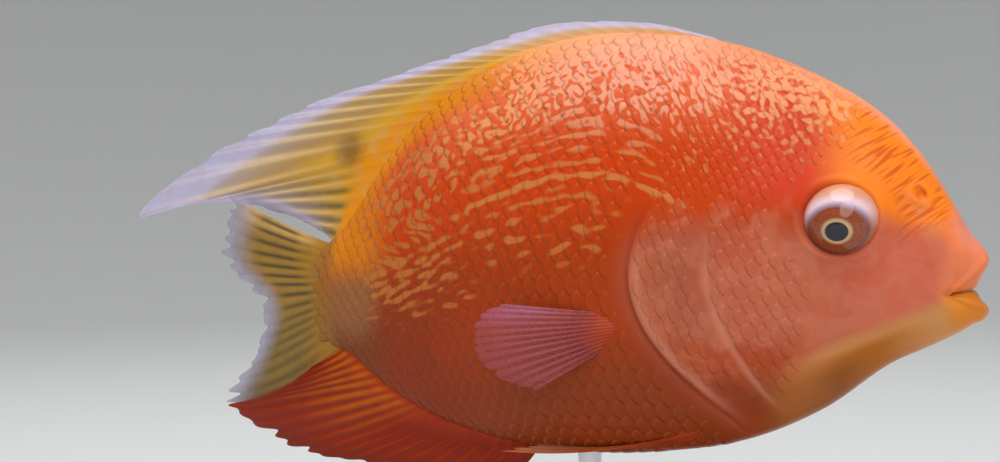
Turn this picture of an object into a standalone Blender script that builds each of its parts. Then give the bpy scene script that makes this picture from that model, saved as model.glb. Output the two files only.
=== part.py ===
"""An adult red severum, a deep-bodied freshwater fish, as a still life-size model on a display stand.

Lengths are in metres, +X is forwards, +Y is the fish's left and +Z is up. The origin is the centre of
the stand's underside. The fish is laid out straight, by distance behind the snout and height over the
line of the mouth, and its rear half is then bent gently to its left.
"""

import math

import bmesh
import bpy
from mathutils import Vector

MM = 0.001

# Where the fish is held over the stand
SNOUT_X = 74 * MM
MOUTH_Z = 88 * MM

# The gentle bend of the rear half, which begins over the origin
BEND_ANGLE = math.radians(8)
BEND_LENGTH = 80 * MM
BEND_CURVATURE = BEND_ANGLE / BEND_LENGTH

# Lengths measured along the fish, behind the snout
STANDARD_LENGTH = 150 * MM
SNOUT_START = 2.0 * MM
STALK_START = 137 * MM

# The trunk and head: distance behind the snout, then back, belly, half width, height of the widest level
BODY_STATIONS = [
    (2.0, 8.6, -6.4, 3.0, 0.5),
    (4.2, 13.2, -7.9, 5.0, 1.5),
    (9.8, 24.0, -10.9, 7.4, 3.5),
    (16.7, 32.7, -14.2, 9.3, 5.5),
    (28.6, 41.6, -22.8, 11.3, 6.0),
    (43.4, 49.2, -29.6, 13.0, 5.0),
    (62.0, 54.0, -33.2, 13.9, 4.0),
    (82.0, 54.6, -34.2, 13.0, 4.5),
    (100.0, 51.6, -32.6, 10.6, 5.0),
    (116.0, 44.6, -29.0, 7.8, 4.5),
    (130.0, 33.6, -23.4, 5.4, 3.0),
    (142.0, 20.4, -16.2, 3.7, 1.0),
    (150.0, 13.2, -12.8, 2.9, 0.0),
]

# How sharply a section closes at the back and at the belly: 1 is an ellipse, more is sharper
BACK_SHARPNESS = [(0.0, 0.85), (25.0, 0.85), (50.0, 1.2), (100.0, 1.3), (150.0, 1.0)]
BELLY_SHARPNESS = [(0.0, 0.8), (30.0, 0.9), (80.0, 0.95), (150.0, 1.0)]

# The line of the gill opening and nape: height, then distance behind the snout
GILL_LINE = [
    (-60, 39), (-33, 40), (-26, 44), (-20, 50), (-13, 56.5), (-6, 61), (2, 63),
    (10, 61.5), (18, 57.5), (30, 51.5), (42, 46), (50, 43.2), (80, 43.2),
]

# The gill cover stands out of the flank. Its outline ahead of the gill opening: distance and height
GILL_SWELL = 1.1 * MM
GILL_COVER_FRONT = [
    (56, 17.2), (52, 18), (48.8, 15.2), (47.6, 9), (47, 2), (45.6, -5), (42.6, -11), (38.6, -16.2),
    (36.6, -20), (39, -23.4), (44, -24.4),
]
GILL_COVER_STEPS = 30
GILL_COVER_LOW = -22 * MM
GILL_COVER_HIGH = 14 * MM
GILL_COVER_INNER = 8.2 * MM

EYE_BEHIND = 23.5 * MM
EYE_HEIGHT = 12.4 * MM
EYE_SIDE = 8.0 * MM
EYE_RADIUS = 6.9 * MM
EYE_FLATNESS = 0.81
EYE_RIM = 7.0 * MM
EYE_RIM_THICK = 0.8 * MM
EYE_RIM_SIDE = 10.3 * MM
EYE_RIM_TURN = math.radians(8)
EYE_RIM_TILT = math.radians(3)

# The lips: front of each roll and the mouth's corner, by distance and height
LIP_RADIUS = 2.5 * MM
UPPER_LIP = (2.3 * MM, 4.3 * MM)
LOWER_LIP = (2.5 * MM, -4.1 * MM)
MOUTH_CORNER = (7.0 * MM, -2.0 * MM)
MOUTH_HALF_WIDTH = 5.4 * MM
MOUTH_SLIT = 0.9 * MM
MOUTH_SLIT_HEIGHT = -0.6 * MM
NOSTRIL_BEHIND = 10.0 * MM
NOSTRIL_HEIGHT = 16.5 * MM
NOSTRIL_SIDE = 6.6 * MM
NOSTRIL_RADIUS = 0.9 * MM

GAP = 0.3 * MM

# Fins: thickness on a ray and on the membrane between two rays
RAY_THICK = 1.4 * MM
MEMBRANE_THICK = 0.5 * MM

BASE_LENGTH = 116 * MM
BASE_WIDTH = 70 * MM
BASE_THICK = 10 * MM
BASE_CORNER = 18 * MM
BASE_EDGE = 1.2 * MM
ROD_BEHIND = 78 * MM
ROD_RADIUS = 2.5 * MM
ROD_SUNK = 5 * MM

# How far the cut regions of the body reach past it
CUT_TOP = 80 * MM
CUT_BOTTOM = -60 * MM
CUT_SIDE = 40 * MM
CUT_REAR = 200 * MM

RIGHT, LEFT = -1, 1


def clear_scene():
    for old in list(bpy.data.objects):
        bpy.data.objects.remove(old)


def smooth(knots, at):
    """A smooth curve through (place, value) knots, level with the outer ones beyond them."""
    if at <= knots[0][0]:
        return knots[0][1]
    if at >= knots[-1][0]:
        return knots[-1][1]
    i = max(k for k in range(len(knots) - 1) if knots[k][0] <= at)
    (x0, y0), (x1, y1) = knots[i], knots[i + 1]
    slope = (y1 - y0) / (x1 - x0)

    def side_slope(j):
        if j < 1 or j > len(knots) - 2:
            return slope
        before = (knots[j][1] - knots[j - 1][1]) / (knots[j][0] - knots[j - 1][0])
        after = (knots[j + 1][1] - knots[j][1]) / (knots[j + 1][0] - knots[j][0])
        return (before + after) / 2

    t = (at - x0) / (x1 - x0)
    rise = (x1 - x0) * (side_slope(i) * t * (1 - t) ** 2 - side_slope(i + 1) * t * t * (1 - t))
    return y0 + (y1 - y0) * t * t * (3 - 2 * t) + rise


def ease(low, high, at):
    t = min(1.0, max(0.0, (at - low) / (high - low)))
    return t * t * (3 - 2 * t)


def column(number):
    return [(row[0], row[number]) for row in BODY_STATIONS]


def back(behind):
    return smooth(column(1), behind / MM) * MM


def belly(behind):
    return smooth(column(2), behind / MM) * MM


def half_width(behind):
    return smooth(column(3), behind / MM) * MM


def widest(behind):
    return smooth(column(4), behind / MM) * MM


def gill_line(height):
    return smooth(GILL_LINE, height / MM) * MM


def gill_swell(behind, height):
    """How far the gill cover stands out of the flank there."""
    along = ease(40 * MM, 50 * MM, behind)
    up = ease(-26 * MM, -14 * MM, height) * (1 - ease(10 * MM, 22 * MM, height))
    return GILL_SWELL * along * up


def place(behind, side, height):
    """A point of the straight fish in the row's frame."""
    return Vector((SNOUT_X - behind, side, MOUTH_Z + height))


def bend(point):
    """Turns a point behind the origin along the bent line of the body."""
    if point.x >= 0:
        return point
    turn = -point.x * BEND_CURVATURE
    x = -math.sin(turn) / BEND_CURVATURE + point.y * math.sin(turn)
    y = (1 - math.cos(turn)) / BEND_CURVATURE + point.y * math.cos(turn)
    return Vector((x, y, point.z))


def section_point(behind, angle, swollen):
    """A point on the body's section, from the belly at -90 degrees to the back at +90."""
    middle = widest(behind)
    if angle > 0:
        reach, sharp = back(behind) - middle, smooth(BACK_SHARPNESS, behind / MM)
    else:
        reach, sharp = middle - belly(behind), smooth(BELLY_SHARPNESS, behind / MM)
    height = middle + reach * math.sin(angle)
    side = half_width(behind) * max(0.0, math.cos(angle)) ** sharp
    if swollen:
        side += gill_swell(behind, height) * min(1.0, 2 * math.cos(angle))
    return side, height


def colour_of(name, colour, roughness, metallic=0.0):
    material = bpy.data.materials.new(name)
    material.use_nodes = True
    shader = material.node_tree.nodes["Principled BSDF"]
    shader.inputs["Base Color"].default_value = (*colour, 1.0)
    shader.inputs["Roughness"].default_value = roughness
    shader.inputs["Metallic"].default_value = metallic
    return material


def mesh_object(name, points, faces, collection):
    mesh = bpy.data.meshes.new(name)
    mesh.from_pydata([tuple(p) for p in points], [], faces)
    shape = bmesh.new()
    shape.from_mesh(mesh)
    bmesh.ops.recalc_face_normals(shape, faces=shape.faces)
    shape.to_mesh(mesh)
    shape.free()
    obj = bpy.data.objects.new(name, mesh)
    collection.objects.link(obj)
    return obj


def loft(name, stations, around, swollen, collection):
    """The whole body as a closed loft through its sections."""
    points, faces = [], []
    for behind in stations:
        for k in range(around):
            turn = 2 * math.pi * k / around
            angle = math.asin(max(-1.0, min(1.0, -math.cos(turn))))
            side, height = section_point(behind, angle, swollen)
            points.append(place(behind, side * (LEFT if turn <= math.pi else RIGHT), height))
    for i in range(len(stations) - 1):
        for k in range(around):
            a, b = i * around + k, i * around + (k + 1) % around
            faces.append((a, b, b + around, a + around))
    faces.append(tuple(range(around)))
    faces.append(tuple(range(len(points) - 1, len(points) - around - 1, -1)))
    return mesh_object(name, points, faces, collection)


def from_curve(name, guide, collection):
    """Makes a closed mesh object of a curve object, and removes the curve."""
    collection.objects.link(guide)
    bpy.context.view_layer.update()
    evaluated = guide.evaluated_get(bpy.context.evaluated_depsgraph_get())
    mesh = bpy.data.meshes.new_from_object(evaluated)
    shape = bmesh.new()
    shape.from_mesh(mesh)
    bmesh.ops.remove_doubles(shape, verts=shape.verts, dist=0.01 * MM)
    bmesh.ops.recalc_face_normals(shape, faces=shape.faces)
    shape.to_mesh(mesh)
    shape.free()
    obj = bpy.data.objects.new(name, mesh)
    obj.matrix_world = guide.matrix_world
    collection.objects.link(obj)
    bpy.data.objects.remove(guide)
    return obj


def prism(name, outline, low_side, high_side, collection):
    """A block whose outline is given by distance behind the snout and height."""
    curve = bpy.data.curves.new(name, "CURVE")
    curve.dimensions = "2D"
    curve.fill_mode = "BOTH"
    curve.extrude = (high_side - low_side) / 2
    spline = curve.splines.new("POLY")
    spline.points.add(len(outline) - 1)
    spline.use_cyclic_u = True
    for spot, (behind, height) in zip(spline.points, outline):
        spot.co = (SNOUT_X - behind, MOUTH_Z + height, 0, 1)
    guide = bpy.data.objects.new(name + "_outline", curve)
    guide.rotation_euler = (math.radians(90), 0, 0)
    guide.location = (0, (low_side + high_side) / 2, 0)
    return from_curve(name, guide, collection)


def ball(name, centre, radius, collection, segments=20, rings=12):
    mesh = bpy.data.meshes.new(name)
    shape = bmesh.new()
    bmesh.ops.create_uvsphere(shape, u_segments=segments, v_segments=rings, radius=radius)
    shape.to_mesh(mesh)
    shape.free()
    obj = bpy.data.objects.new(name, mesh)
    obj.location = centre
    collection.objects.link(obj)
    return obj


def tube(name, points, radii, collection, sides_level=2):
    """A closed tube along a smooth line, as thick at each point as its radius."""
    curve = bpy.data.curves.new(name, "CURVE")
    curve.dimensions = "3D"
    curve.bevel_depth = 1.0
    curve.bevel_resolution = sides_level
    curve.use_fill_caps = True
    spline = curve.splines.new("POLY")
    spline.points.add(len(points) - 1)
    for spot, point, radius in zip(spline.points, points, radii):
        spot.co = (*point, 1.0)
        spot.radius = radius
    return from_curve(name, bpy.data.objects.new(name + "_line", curve), collection)


def boolean(obj, others, operation, solver="EXACT"):
    """Joins, cuts or keeps the overlap with other objects at once, and removes them."""
    group = bpy.data.collections.new("operands")
    for other in others:
        group.objects.link(other)
    step = obj.modifiers.new(operation, "BOOLEAN")
    step.operation = operation
    step.solver = solver
    step.operand_type = "COLLECTION"
    step.collection = group
    bpy.context.view_layer.update()
    evaluated = obj.evaluated_get(bpy.context.evaluated_depsgraph_get())
    done = bpy.data.meshes.new_from_object(evaluated)
    obj.modifiers.clear()
    obj.data = done
    for other in others:
        bpy.data.objects.remove(other)
    bpy.data.collections.remove(group)


def keep_largest(obj):
    """Keeps only the largest closed surface of a mesh."""
    shape = bmesh.new()
    shape.from_mesh(obj.data)
    bmesh.ops.remove_doubles(shape, verts=shape.verts, dist=0.002 * MM)
    left, pieces = set(shape.verts), []
    while left:
        piece, front = set(), [left.pop()]
        while front:
            vert = front.pop()
            piece.add(vert)
            for edge in vert.link_edges:
                other = edge.other_vert(vert)
                if other in left:
                    left.remove(other)
                    front.append(other)
        pieces.append(piece)
    pieces.sort(key=len, reverse=True)
    loose = [vert for piece in pieces[1:] for vert in piece]
    bmesh.ops.delete(shape, geom=loose, context="VERTS")
    shape.to_mesh(obj.data)
    shape.free()


def finish(obj, material, bent=True):
    """Puts a node's shape in its place in the bent fish and gives it its material."""
    bpy.context.view_layer.update()
    obj.data.transform(obj.matrix_world)
    obj.matrix_world.identity()
    if bent:
        for vert in obj.data.vertices:
            vert.co = bend(vert.co)
    obj.data.materials.clear()
    obj.data.materials.append(material)
    obj.data.shade_smooth()
    obj.data.set_sharp_from_angle(angle=math.radians(40))


def body_stations(count):
    """Sections closer together at the snout, where the head curves most."""
    span = STANDARD_LENGTH - SNOUT_START
    return [SNOUT_START + span * (i / count) ** 1.25 for i in range(count + 1)]


def head_outline(shift):
    """The region ahead of the gill opening, moved back by a small shift."""
    steps = 35
    ahead = -20 * MM
    line = [CUT_BOTTOM + (CUT_TOP - CUT_BOTTOM) * i / steps for i in range(steps + 1)]
    region = [(gill_line(h) + shift, h) for h in line]
    return region + [(ahead, CUT_TOP), (ahead, CUT_BOTTOM)]


def gill_cover_outline(grow):
    """The gill cover's outline, grown outwards by a small amount."""
    steps = 12
    rise = (GILL_COVER_HIGH - GILL_COVER_LOW) / steps
    heights = [GILL_COVER_LOW + rise * i for i in range(steps + 1)]
    outline = [(gill_line(h), h) for h in heights]
    front = [outline[-1]] + [(row[0] * MM, row[1] * MM) for row in GILL_COVER_FRONT] + [outline[0]]
    for k in range(1, GILL_COVER_STEPS):
        at = k * (len(front) - 1) / GILL_COVER_STEPS
        outline.append(tuple(smooth(list(enumerate(row[axis] for row in front)), at) for axis in (0, 1)))
    grown = []
    for i, (behind, height) in enumerate(outline):
        before, after = outline[i - 1], outline[(i + 1) % len(outline)]
        along = Vector((after[0] - before[0], after[1] - before[1])).normalized()
        grown.append((behind + along.y * grow, height - along.x * grow))
    return grown


def lip(name, front, collection):
    """One lip, a thick roll from one corner of the mouth round the front to the other."""
    steps = 12
    points, radii = [], []
    for i in range(steps + 1):
        turn = math.pi * (i / steps - 0.5)
        share = 1 - math.cos(turn)
        behind = front[0] + (MOUTH_CORNER[0] - front[0]) * share
        height = front[1] + (MOUTH_CORNER[1] - front[1]) * share ** 1.3
        points.append(place(behind, MOUTH_HALF_WIDTH * math.sin(turn), height))
        radii.append(LIP_RADIUS * (0.5 + 0.5 * math.cos(turn)))
    return tube(name, points, radii, collection)


def mouth_slit(collection):
    """The slightly open mouth, a wedge that narrows to the corners."""
    ahead = -4 * MM
    rear, droop = MOUTH_CORNER
    outline = [
        (ahead, MOUTH_SLIT_HEIGHT + MOUTH_SLIT / 2),
        (rear, droop + MOUTH_SLIT / 6),
        (rear, droop - MOUTH_SLIT / 6),
        (ahead, MOUTH_SLIT_HEIGHT - MOUTH_SLIT / 2),
    ]
    return prism("mouth_slit", outline, -2 * MOUTH_HALF_WIDTH, 2 * MOUTH_HALF_WIDTH, collection)


def eye_rim(side, collection):
    """The raised ring of skin round an eye, standing out a little more at its rear and lower side."""
    bpy.ops.mesh.primitive_torus_add(
        major_segments=20, minor_segments=6, major_radius=EYE_RIM, minor_radius=EYE_RIM_THICK
    )
    rim = bpy.context.object
    rim.name = "eye_rim"
    rim.location = place(EYE_BEHIND, side * EYE_RIM_SIDE, EYE_HEIGHT)
    rim.rotation_euler = (math.radians(90) + side * EYE_RIM_TILT, 0, -side * EYE_RIM_TURN)
    for group in list(rim.users_collection):
        group.objects.unlink(rim)
    collection.objects.link(rim)
    return rim


def recess(side, collection):
    """The space in the head and trunk that a gill cover fills."""
    sides = sorted((side * (GILL_COVER_INNER - GAP), side * CUT_SIDE))
    return prism("recess", gill_cover_outline(GAP), *sides, collection)


def build_head(work, nodes):
    head = loft("head", body_stations(46), 36, True, nodes)
    joined = [lip("upper_lip", UPPER_LIP, work), lip("lower_lip", LOWER_LIP, work)]
    joined += [eye_rim(side, work) for side in (RIGHT, LEFT)]
    boolean(head, joined, "UNION")
    cut = [mouth_slit(work)]
    for side in (RIGHT, LEFT):
        cut.append(eyeball("socket", side, EYE_RADIUS + GAP, work))
        nostril = place(NOSTRIL_BEHIND, side * NOSTRIL_SIDE, NOSTRIL_HEIGHT)
        cut.append(ball("nostril", nostril, NOSTRIL_RADIUS, work, 8, 6))
        cut.append(recess(side, work))
    boolean(head, cut, "DIFFERENCE")
    boolean(head, [prism("front", head_outline(0), -CUT_SIDE, CUT_SIDE, work)], "INTERSECT", "MANIFOLD")
    keep_largest(head)
    return head


def build_gill_cover(side, work, nodes):
    name = "gill_cover_right" if side == RIGHT else "gill_cover_left"
    cover = loft(name, body_stations(46), 36, True, nodes)
    sides = sorted((side * GILL_COVER_INNER, side * CUT_SIDE))
    boolean(cover, [prism("cover_region", gill_cover_outline(0), *sides, work)], "INTERSECT", "MANIFOLD")
    keep_largest(cover)
    return cover


def build_trunk(work, nodes):
    trunk = loft("trunk", body_stations(40), 32, False, nodes)
    rear = [
        (STALK_START, CUT_TOP), (CUT_REAR, CUT_TOP), (CUT_REAR, CUT_BOTTOM), (STALK_START, CUT_BOTTOM),
    ]
    rod = round_rod("rod_hole", ROD_RADIUS + GAP, MOUTH_Z + CUT_BOTTOM, rod_top() + GAP, work)
    cut = [prism("front", head_outline(GAP + 0.1 * MM), -CUT_SIDE, CUT_SIDE, work)]
    cut.append(prism("rear", rear, -CUT_SIDE, CUT_SIDE, work))
    cut += [recess(side, work) for side in (RIGHT, LEFT)]
    cut.append(rod)
    boolean(trunk, cut, "DIFFERENCE")
    keep_largest(trunk)
    return trunk


def build_stalk(nodes):
    count = 7
    start = STALK_START + GAP
    stations = [start + (STANDARD_LENGTH - start) * i / count for i in range(count + 1)]
    return loft("tail_stalk", stations, 32, False, nodes)


def eyeball(name, side, radius, collection):
    """An eyeball, flatter from side to side than it is tall and long."""
    eye = ball(name, place(EYE_BEHIND, side * EYE_SIDE, EYE_HEIGHT), radius, collection, 24, 14)
    eye.scale = (1, EYE_FLATNESS, 1)
    return eye


def build_eye(side, nodes):
    return eyeball("eye_right" if side == RIGHT else "eye_left", side, EYE_RADIUS, nodes)


def quad_bezier(start, middle, end, t):
    return start * (1 - t) ** 2 + middle * 2 * t * (1 - t) + end * t * t


def fin(name, rays, rows, root, sheath, collection, scallop=0.05, thick=1.0):
    """A fin: a membrane with a raised ridge along every ray.

    rays is a list of (root, bow, tip) points of the straight fish, root gives the thickness at the root
    of each ray, and sheath is the share of the ray over which the thick root thins out.
    """
    columns = []
    for i, ray in enumerate(rays):
        columns.append((ray, 1.0, True, root(i)))
        if i < len(rays) - 1:
            following = rays[i + 1]
            between = tuple((a + b) / 2 for a, b in zip(ray, following))
            columns.append((between, 1 - scallop, False, (root(i) + root(i + 1)) / 2))
    grid = [[quad_bezier(*ray, reach * j / rows) for j in range(rows + 1)] for ray, reach, _, _ in columns]
    last = len(grid) - 1
    front, rear = [], []
    for i in range(len(grid)):
        _, _, on_ray, root_thick = columns[i]
        for j in range(rows + 1):
            across = grid[min(i + 1, last)][j] - grid[max(i - 1, 0)][j]
            along = grid[i][min(j + 1, rows)] - grid[i][max(j - 1, 0)]
            normal = across.cross(along)
            normal = normal.normalized() if normal.length > 1e-12 else Vector((0, 1, 0))
            t = j / rows
            full = (RAY_THICK * (1 - 0.5 * t) if on_ray else MEMBRANE_THICK) * thick
            full = max(full, MEMBRANE_THICK)
            full += (root_thick - full) * (1 - ease(0, sheath, t)) if root_thick > full else 0
            front.append(grid[i][j] + normal * full / 2)
            rear.append(grid[i][j] - normal * full / 2)
    width = rows + 1
    count = len(grid) * width
    faces = []
    for i in range(last):
        for j in range(rows):
            a, b = i * width + j, (i + 1) * width + j
            for shift, order in ((0, 1), (count, -1)):
                faces.append(tuple(v + shift for v in (a, b, b + 1))[::order])
                faces.append(tuple(v + shift for v in (a, b + 1, a + 1))[::order])
    border = [i * width for i in range(len(grid))]
    border += [last * width + j for j in range(1, width)]
    border += [i * width + rows for i in range(last - 1, -1, -1)]
    border += [j for j in range(rows - 1, 0, -1)]
    for k, a in enumerate(border):
        b = border[(k + 1) % len(border)]
        faces.append((a, a + count, b))
        faces.append((b, a + count, b + count))
    return mesh_object(name, front + rear, faces, collection)


# The dorsal fin's edge: number of the spine or ray, then distance and height of its tip. The spines are
# folded low, and the soft rays trail back to a long point and under again.
DORSAL_FRONT = 44 * MM
DORSAL_REAR = 148.6 * MM
DORSAL_SPINES = 15
DORSAL_RAYS = 28
DORSAL_ENDS = [
    (0, 49, 51.6), (3, 62, 56.2), (7, 84, 59.2), (11, 106, 56.6), (15, 133, 52.8), (17, 158, 49.6),
    (19, 184, 44.4), (20, 199, 41.4), (21, 224, 35.4), (22, 258, 25.4), (23, 230, 27.2), (25, 196, 26.4),
    (26.5, 172, 21.4), (28, 159, 16.6),
]
DORSAL_DRIFT = 5.0 * MM


def along_back(behind):
    return place(behind, 0, back(behind) + GAP)


def along_belly(behind):
    return place(behind, 0, belly(behind) - GAP)


def end_of(ends, number):
    behind = smooth([(row[0], row[1]) for row in ends], number)
    height = smooth([(row[0], row[2]) for row in ends], number)
    return behind * MM, height * MM


def middle_fin_ray(start, behind, height, drift, soft):
    """A ray of a fin on the body's middle line, straight if it is a spine and swept back if soft."""
    tip = place(behind, drift, height)
    forward = 0.55 - 0.1 * soft
    rise = 0.62 + 0.1 * soft - 0.2 * soft * soft
    bow = Vector((start.x + (tip.x - start.x) * forward, drift * 0.4, start.z + (tip.z - start.z) * rise))
    return start, bow, tip


def build_dorsal(nodes):
    rays = []
    for i in range(DORSAL_RAYS + 1):
        root = DORSAL_FRONT + (DORSAL_REAR - DORSAL_FRONT) * (i / DORSAL_RAYS) ** 0.96
        behind, height = end_of(DORSAL_ENDS, i)
        soft = ease(DORSAL_SPINES - 2, 23, i)
        drift = DORSAL_DRIFT * ease(19, 23.5, i)
        rays.append(middle_fin_ray(along_back(root), behind, height, drift, soft))
    return fin("fin_dorsal", rays, 9, lambda i: 2.6 * MM, 0.35, nodes, scallop=0.05)


ANAL_FRONT = 89 * MM
ANAL_REAR = 146.4 * MM
ANAL_SPINES = 8
ANAL_RAYS = 20
ANAL_ENDS = [
    (0, 93, -37.6), (3, 108, -40.6), (5, 122, -41.4), (8, 146, -41.2), (10, 160, -40.5),
    (12, 173, -37.6), (14, 183.5, -32.2), (15, 188.5, -29.8), (16, 180, -28.2), (18, 164, -23.4),
    (20, 154, -18.2),
]
ANAL_DRIFT = -4.0 * MM


def build_anal(nodes):
    rays = []
    for i in range(ANAL_RAYS + 1):
        root = ANAL_FRONT + (ANAL_REAR - ANAL_FRONT) * (i / ANAL_RAYS) ** 0.95
        behind, height = end_of(ANAL_ENDS, i)
        soft = ease(ANAL_SPINES - 2, 15, i)
        drift = ANAL_DRIFT * ease(11, 16, i)
        rays.append(middle_fin_ray(along_belly(root), behind, height, drift, soft))
    return fin("fin_anal", rays, 8, lambda i: 2.4 * MM, 0.35, nodes, scallop=0.05)


# The tail fin's edge: number of the ray from the top, then distance and height of its tip
CAUDAL_RAYS = 16
CAUDAL_ENDS = [
    (0, 193, 28.6), (2, 194.6, 21), (4, 196, 12.4), (5.4, 190, 6.6), (7, 181, 1.2), (9, 177.4, -7.4),
    (11, 181, -15.4), (13, 188, -22.4), (15, 196.4, -29.8), (16, 192, -31),
]
CAUDAL_BASE_TOP = 12.2 * MM
CAUDAL_BASE_BOTTOM = -11.8 * MM


def build_caudal(nodes):
    rays = []
    for i in range(CAUDAL_RAYS + 1):
        share = i / CAUDAL_RAYS
        height = CAUDAL_BASE_TOP + (CAUDAL_BASE_BOTTOM - CAUDAL_BASE_TOP) * share
        start = place(STANDARD_LENGTH + GAP, 0, height)
        behind, end_height = end_of(CAUDAL_ENDS, i)
        tip = place(behind, 0, end_height)
        bow_x = start.x + (tip.x - start.x) * 0.4
        bow = Vector((bow_x, 0, start.z + (tip.z - start.z) * 0.36))
        rays.append((start, bow, tip))

    def root(i):
        share = 2 * i / CAUDAL_RAYS - 1
        return (1.6 + 3.4 * math.sqrt(max(0.0, 1 - share * share))) * MM

    return fin("fin_caudal", rays, 8, root, 0.35, nodes, scallop=0.04)


PECTORAL_RAYS = 12
PECTORAL_BEHIND = 67.5 * MM
PECTORAL_HEIGHT = -7.6 * MM
PECTORAL_ROOT_SPAN = 6.0 * MM
PECTORAL_ENDS = [
    (0, 89.0, -2.2), (2, 93.4, -4.6), (4, 94.6, -8.2), (7, 93.6, -13.2), (9, 90.5, -17), (12, 82.5, -20),
]
PECTORAL_SWING = 0.16
PECTORAL_ROOT_OUT = 1.1 * MM
PECTORAL_CUP = 1.5 * MM
PECTORAL_BOW = 0.9 * MM


def build_pectoral(side, nodes):
    name = "fin_pectoral_right" if side == RIGHT else "fin_pectoral_left"
    rays = []
    for i in range(PECTORAL_RAYS + 1):
        share = i / PECTORAL_RAYS
        behind = PECTORAL_BEHIND + 1.0 * MM * share
        height = PECTORAL_HEIGHT + PECTORAL_ROOT_SPAN * (0.5 - share)
        flank = flank_side(behind, height) + PECTORAL_ROOT_OUT
        start = place(behind, side * flank, height)
        end_behind, end_height = end_of(PECTORAL_ENDS, i)
        out = flank + (end_behind - behind) * PECTORAL_SWING + PECTORAL_CUP * math.sin(math.pi * share)
        tip = place(end_behind, side * out, end_height)
        bow = start * 0.5 + tip * 0.5 + Vector((0, side * PECTORAL_BOW, 0))
        rays.append((start, bow, tip))
    return fin(name, rays, 6, lambda i: 1.5 * MM, 0.3, nodes, thick=0.8)


def flank_side(behind, height):
    """How far the trunk's surface stands out of the middle at a height."""
    middle = widest(behind)
    if height > middle:
        rise = (height - middle) / (back(behind) - middle)
        sharp = smooth(BACK_SHARPNESS, behind / MM)
    else:
        rise = (middle - height) / (middle - belly(behind))
        sharp = smooth(BELLY_SHARPNESS, behind / MM)
    return half_width(behind) * max(0.0, 1 - rise * rise) ** (sharp / 2)


# The pelvic fins lie folded against the belly: the long first ray runs level under it, and the
# shorter ones close to the skin
PELVIC_RAYS = 6
PELVIC_BEHIND = 53 * MM
PELVIC_SIDE = 6.4 * MM
PELVIC_ROOT_SPAN = 2.0 * MM
PELVIC_ROOT_CLEAR = 1.3 * MM
PELVIC_FIRST_BOW = -34.9 * MM
PELVIC_FIRST_TIP = -34.4 * MM
PELVIC_INNER_CLEAR = 1.4 * MM


def build_pelvic(side, nodes):
    """A pelvic fin folded back along the belly, ending in a long first ray."""
    name = "fin_pelvic_right" if side == RIGHT else "fin_pelvic_left"
    rays = []
    for i in range(PELVIC_RAYS + 1):
        share = i / PELVIC_RAYS
        behind = PELVIC_BEHIND + 1.6 * MM * share
        out = PELVIC_SIDE - PELVIC_ROOT_SPAN * share
        start = place(behind, side * out, lower_skin(behind, out) - PELVIC_ROOT_CLEAR)
        reach = (44 - 17 * share ** 0.8) * MM
        bow_behind = behind + reach * 0.45
        under_bow = lower_skin(bow_behind, out) - PELVIC_INNER_CLEAR
        under_tip = lower_skin(behind + reach, out) - PELVIC_INNER_CLEAR
        bow = place(bow_behind, side * out, PELVIC_FIRST_BOW + (under_bow - PELVIC_FIRST_BOW) * share)
        tip = place(behind + reach, side * out, PELVIC_FIRST_TIP + (under_tip - PELVIC_FIRST_TIP) * share)
        rays.append((start, bow, tip))
    return fin(name, rays, 7, lambda i: 1.2 * MM, 0.25, nodes, thick=0.8)


def lower_skin(behind, side):
    """The height of the belly's surface at a distance to the side of the middle."""
    middle = widest(behind)
    sharp = smooth(BELLY_SHARPNESS, behind / MM)
    share = min(1.0, side / half_width(behind))
    return middle - (middle - belly(behind)) * math.sqrt(1 - share ** (2 / sharp))


def rod_top():
    return MOUTH_Z + belly(ROD_BEHIND) + ROD_SUNK


def round_rod(name, radius, low, high, collection):
    mesh = bpy.data.meshes.new(name)
    shape = bmesh.new()
    bmesh.ops.create_cone(
        shape, cap_ends=True, segments=24, radius1=radius, radius2=radius, depth=high - low
    )
    shape.to_mesh(mesh)
    shape.free()
    obj = bpy.data.objects.new(name, mesh)
    obj.location = (SNOUT_X - ROD_BEHIND, 0, (low + high) / 2)
    collection.objects.link(obj)
    return obj


def build_stand(nodes):
    """A flat base with round corners and one rod, which enters the belly between the pelvic fins."""
    mesh = bpy.data.meshes.new("stand_base")
    shape = bmesh.new()
    bmesh.ops.create_cube(shape, size=1)
    bmesh.ops.scale(shape, vec=(BASE_LENGTH, BASE_WIDTH, BASE_THICK), verts=shape.verts)
    bmesh.ops.translate(shape, vec=(0, 0, BASE_THICK / 2), verts=shape.verts)
    upright = [e for e in shape.edges if abs(e.verts[0].co.z - e.verts[1].co.z) > BASE_THICK / 2]
    bmesh.ops.bevel(
        shape, geom=upright, offset=BASE_CORNER, segments=6, profile=0.5, affect="EDGES", offset_type="OFFSET"
    )
    shape.to_mesh(mesh)
    shape.free()
    base = bpy.data.objects.new("stand_base", mesh)
    nodes.objects.link(base)
    edge = base.modifiers.new("edge", "BEVEL")
    edge.width = BASE_EDGE
    edge.segments = 2
    edge.limit_method = "ANGLE"
    rod = round_rod("stand_rod", ROD_RADIUS, BASE_THICK + GAP, rod_top(), nodes)
    return base, rod


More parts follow.
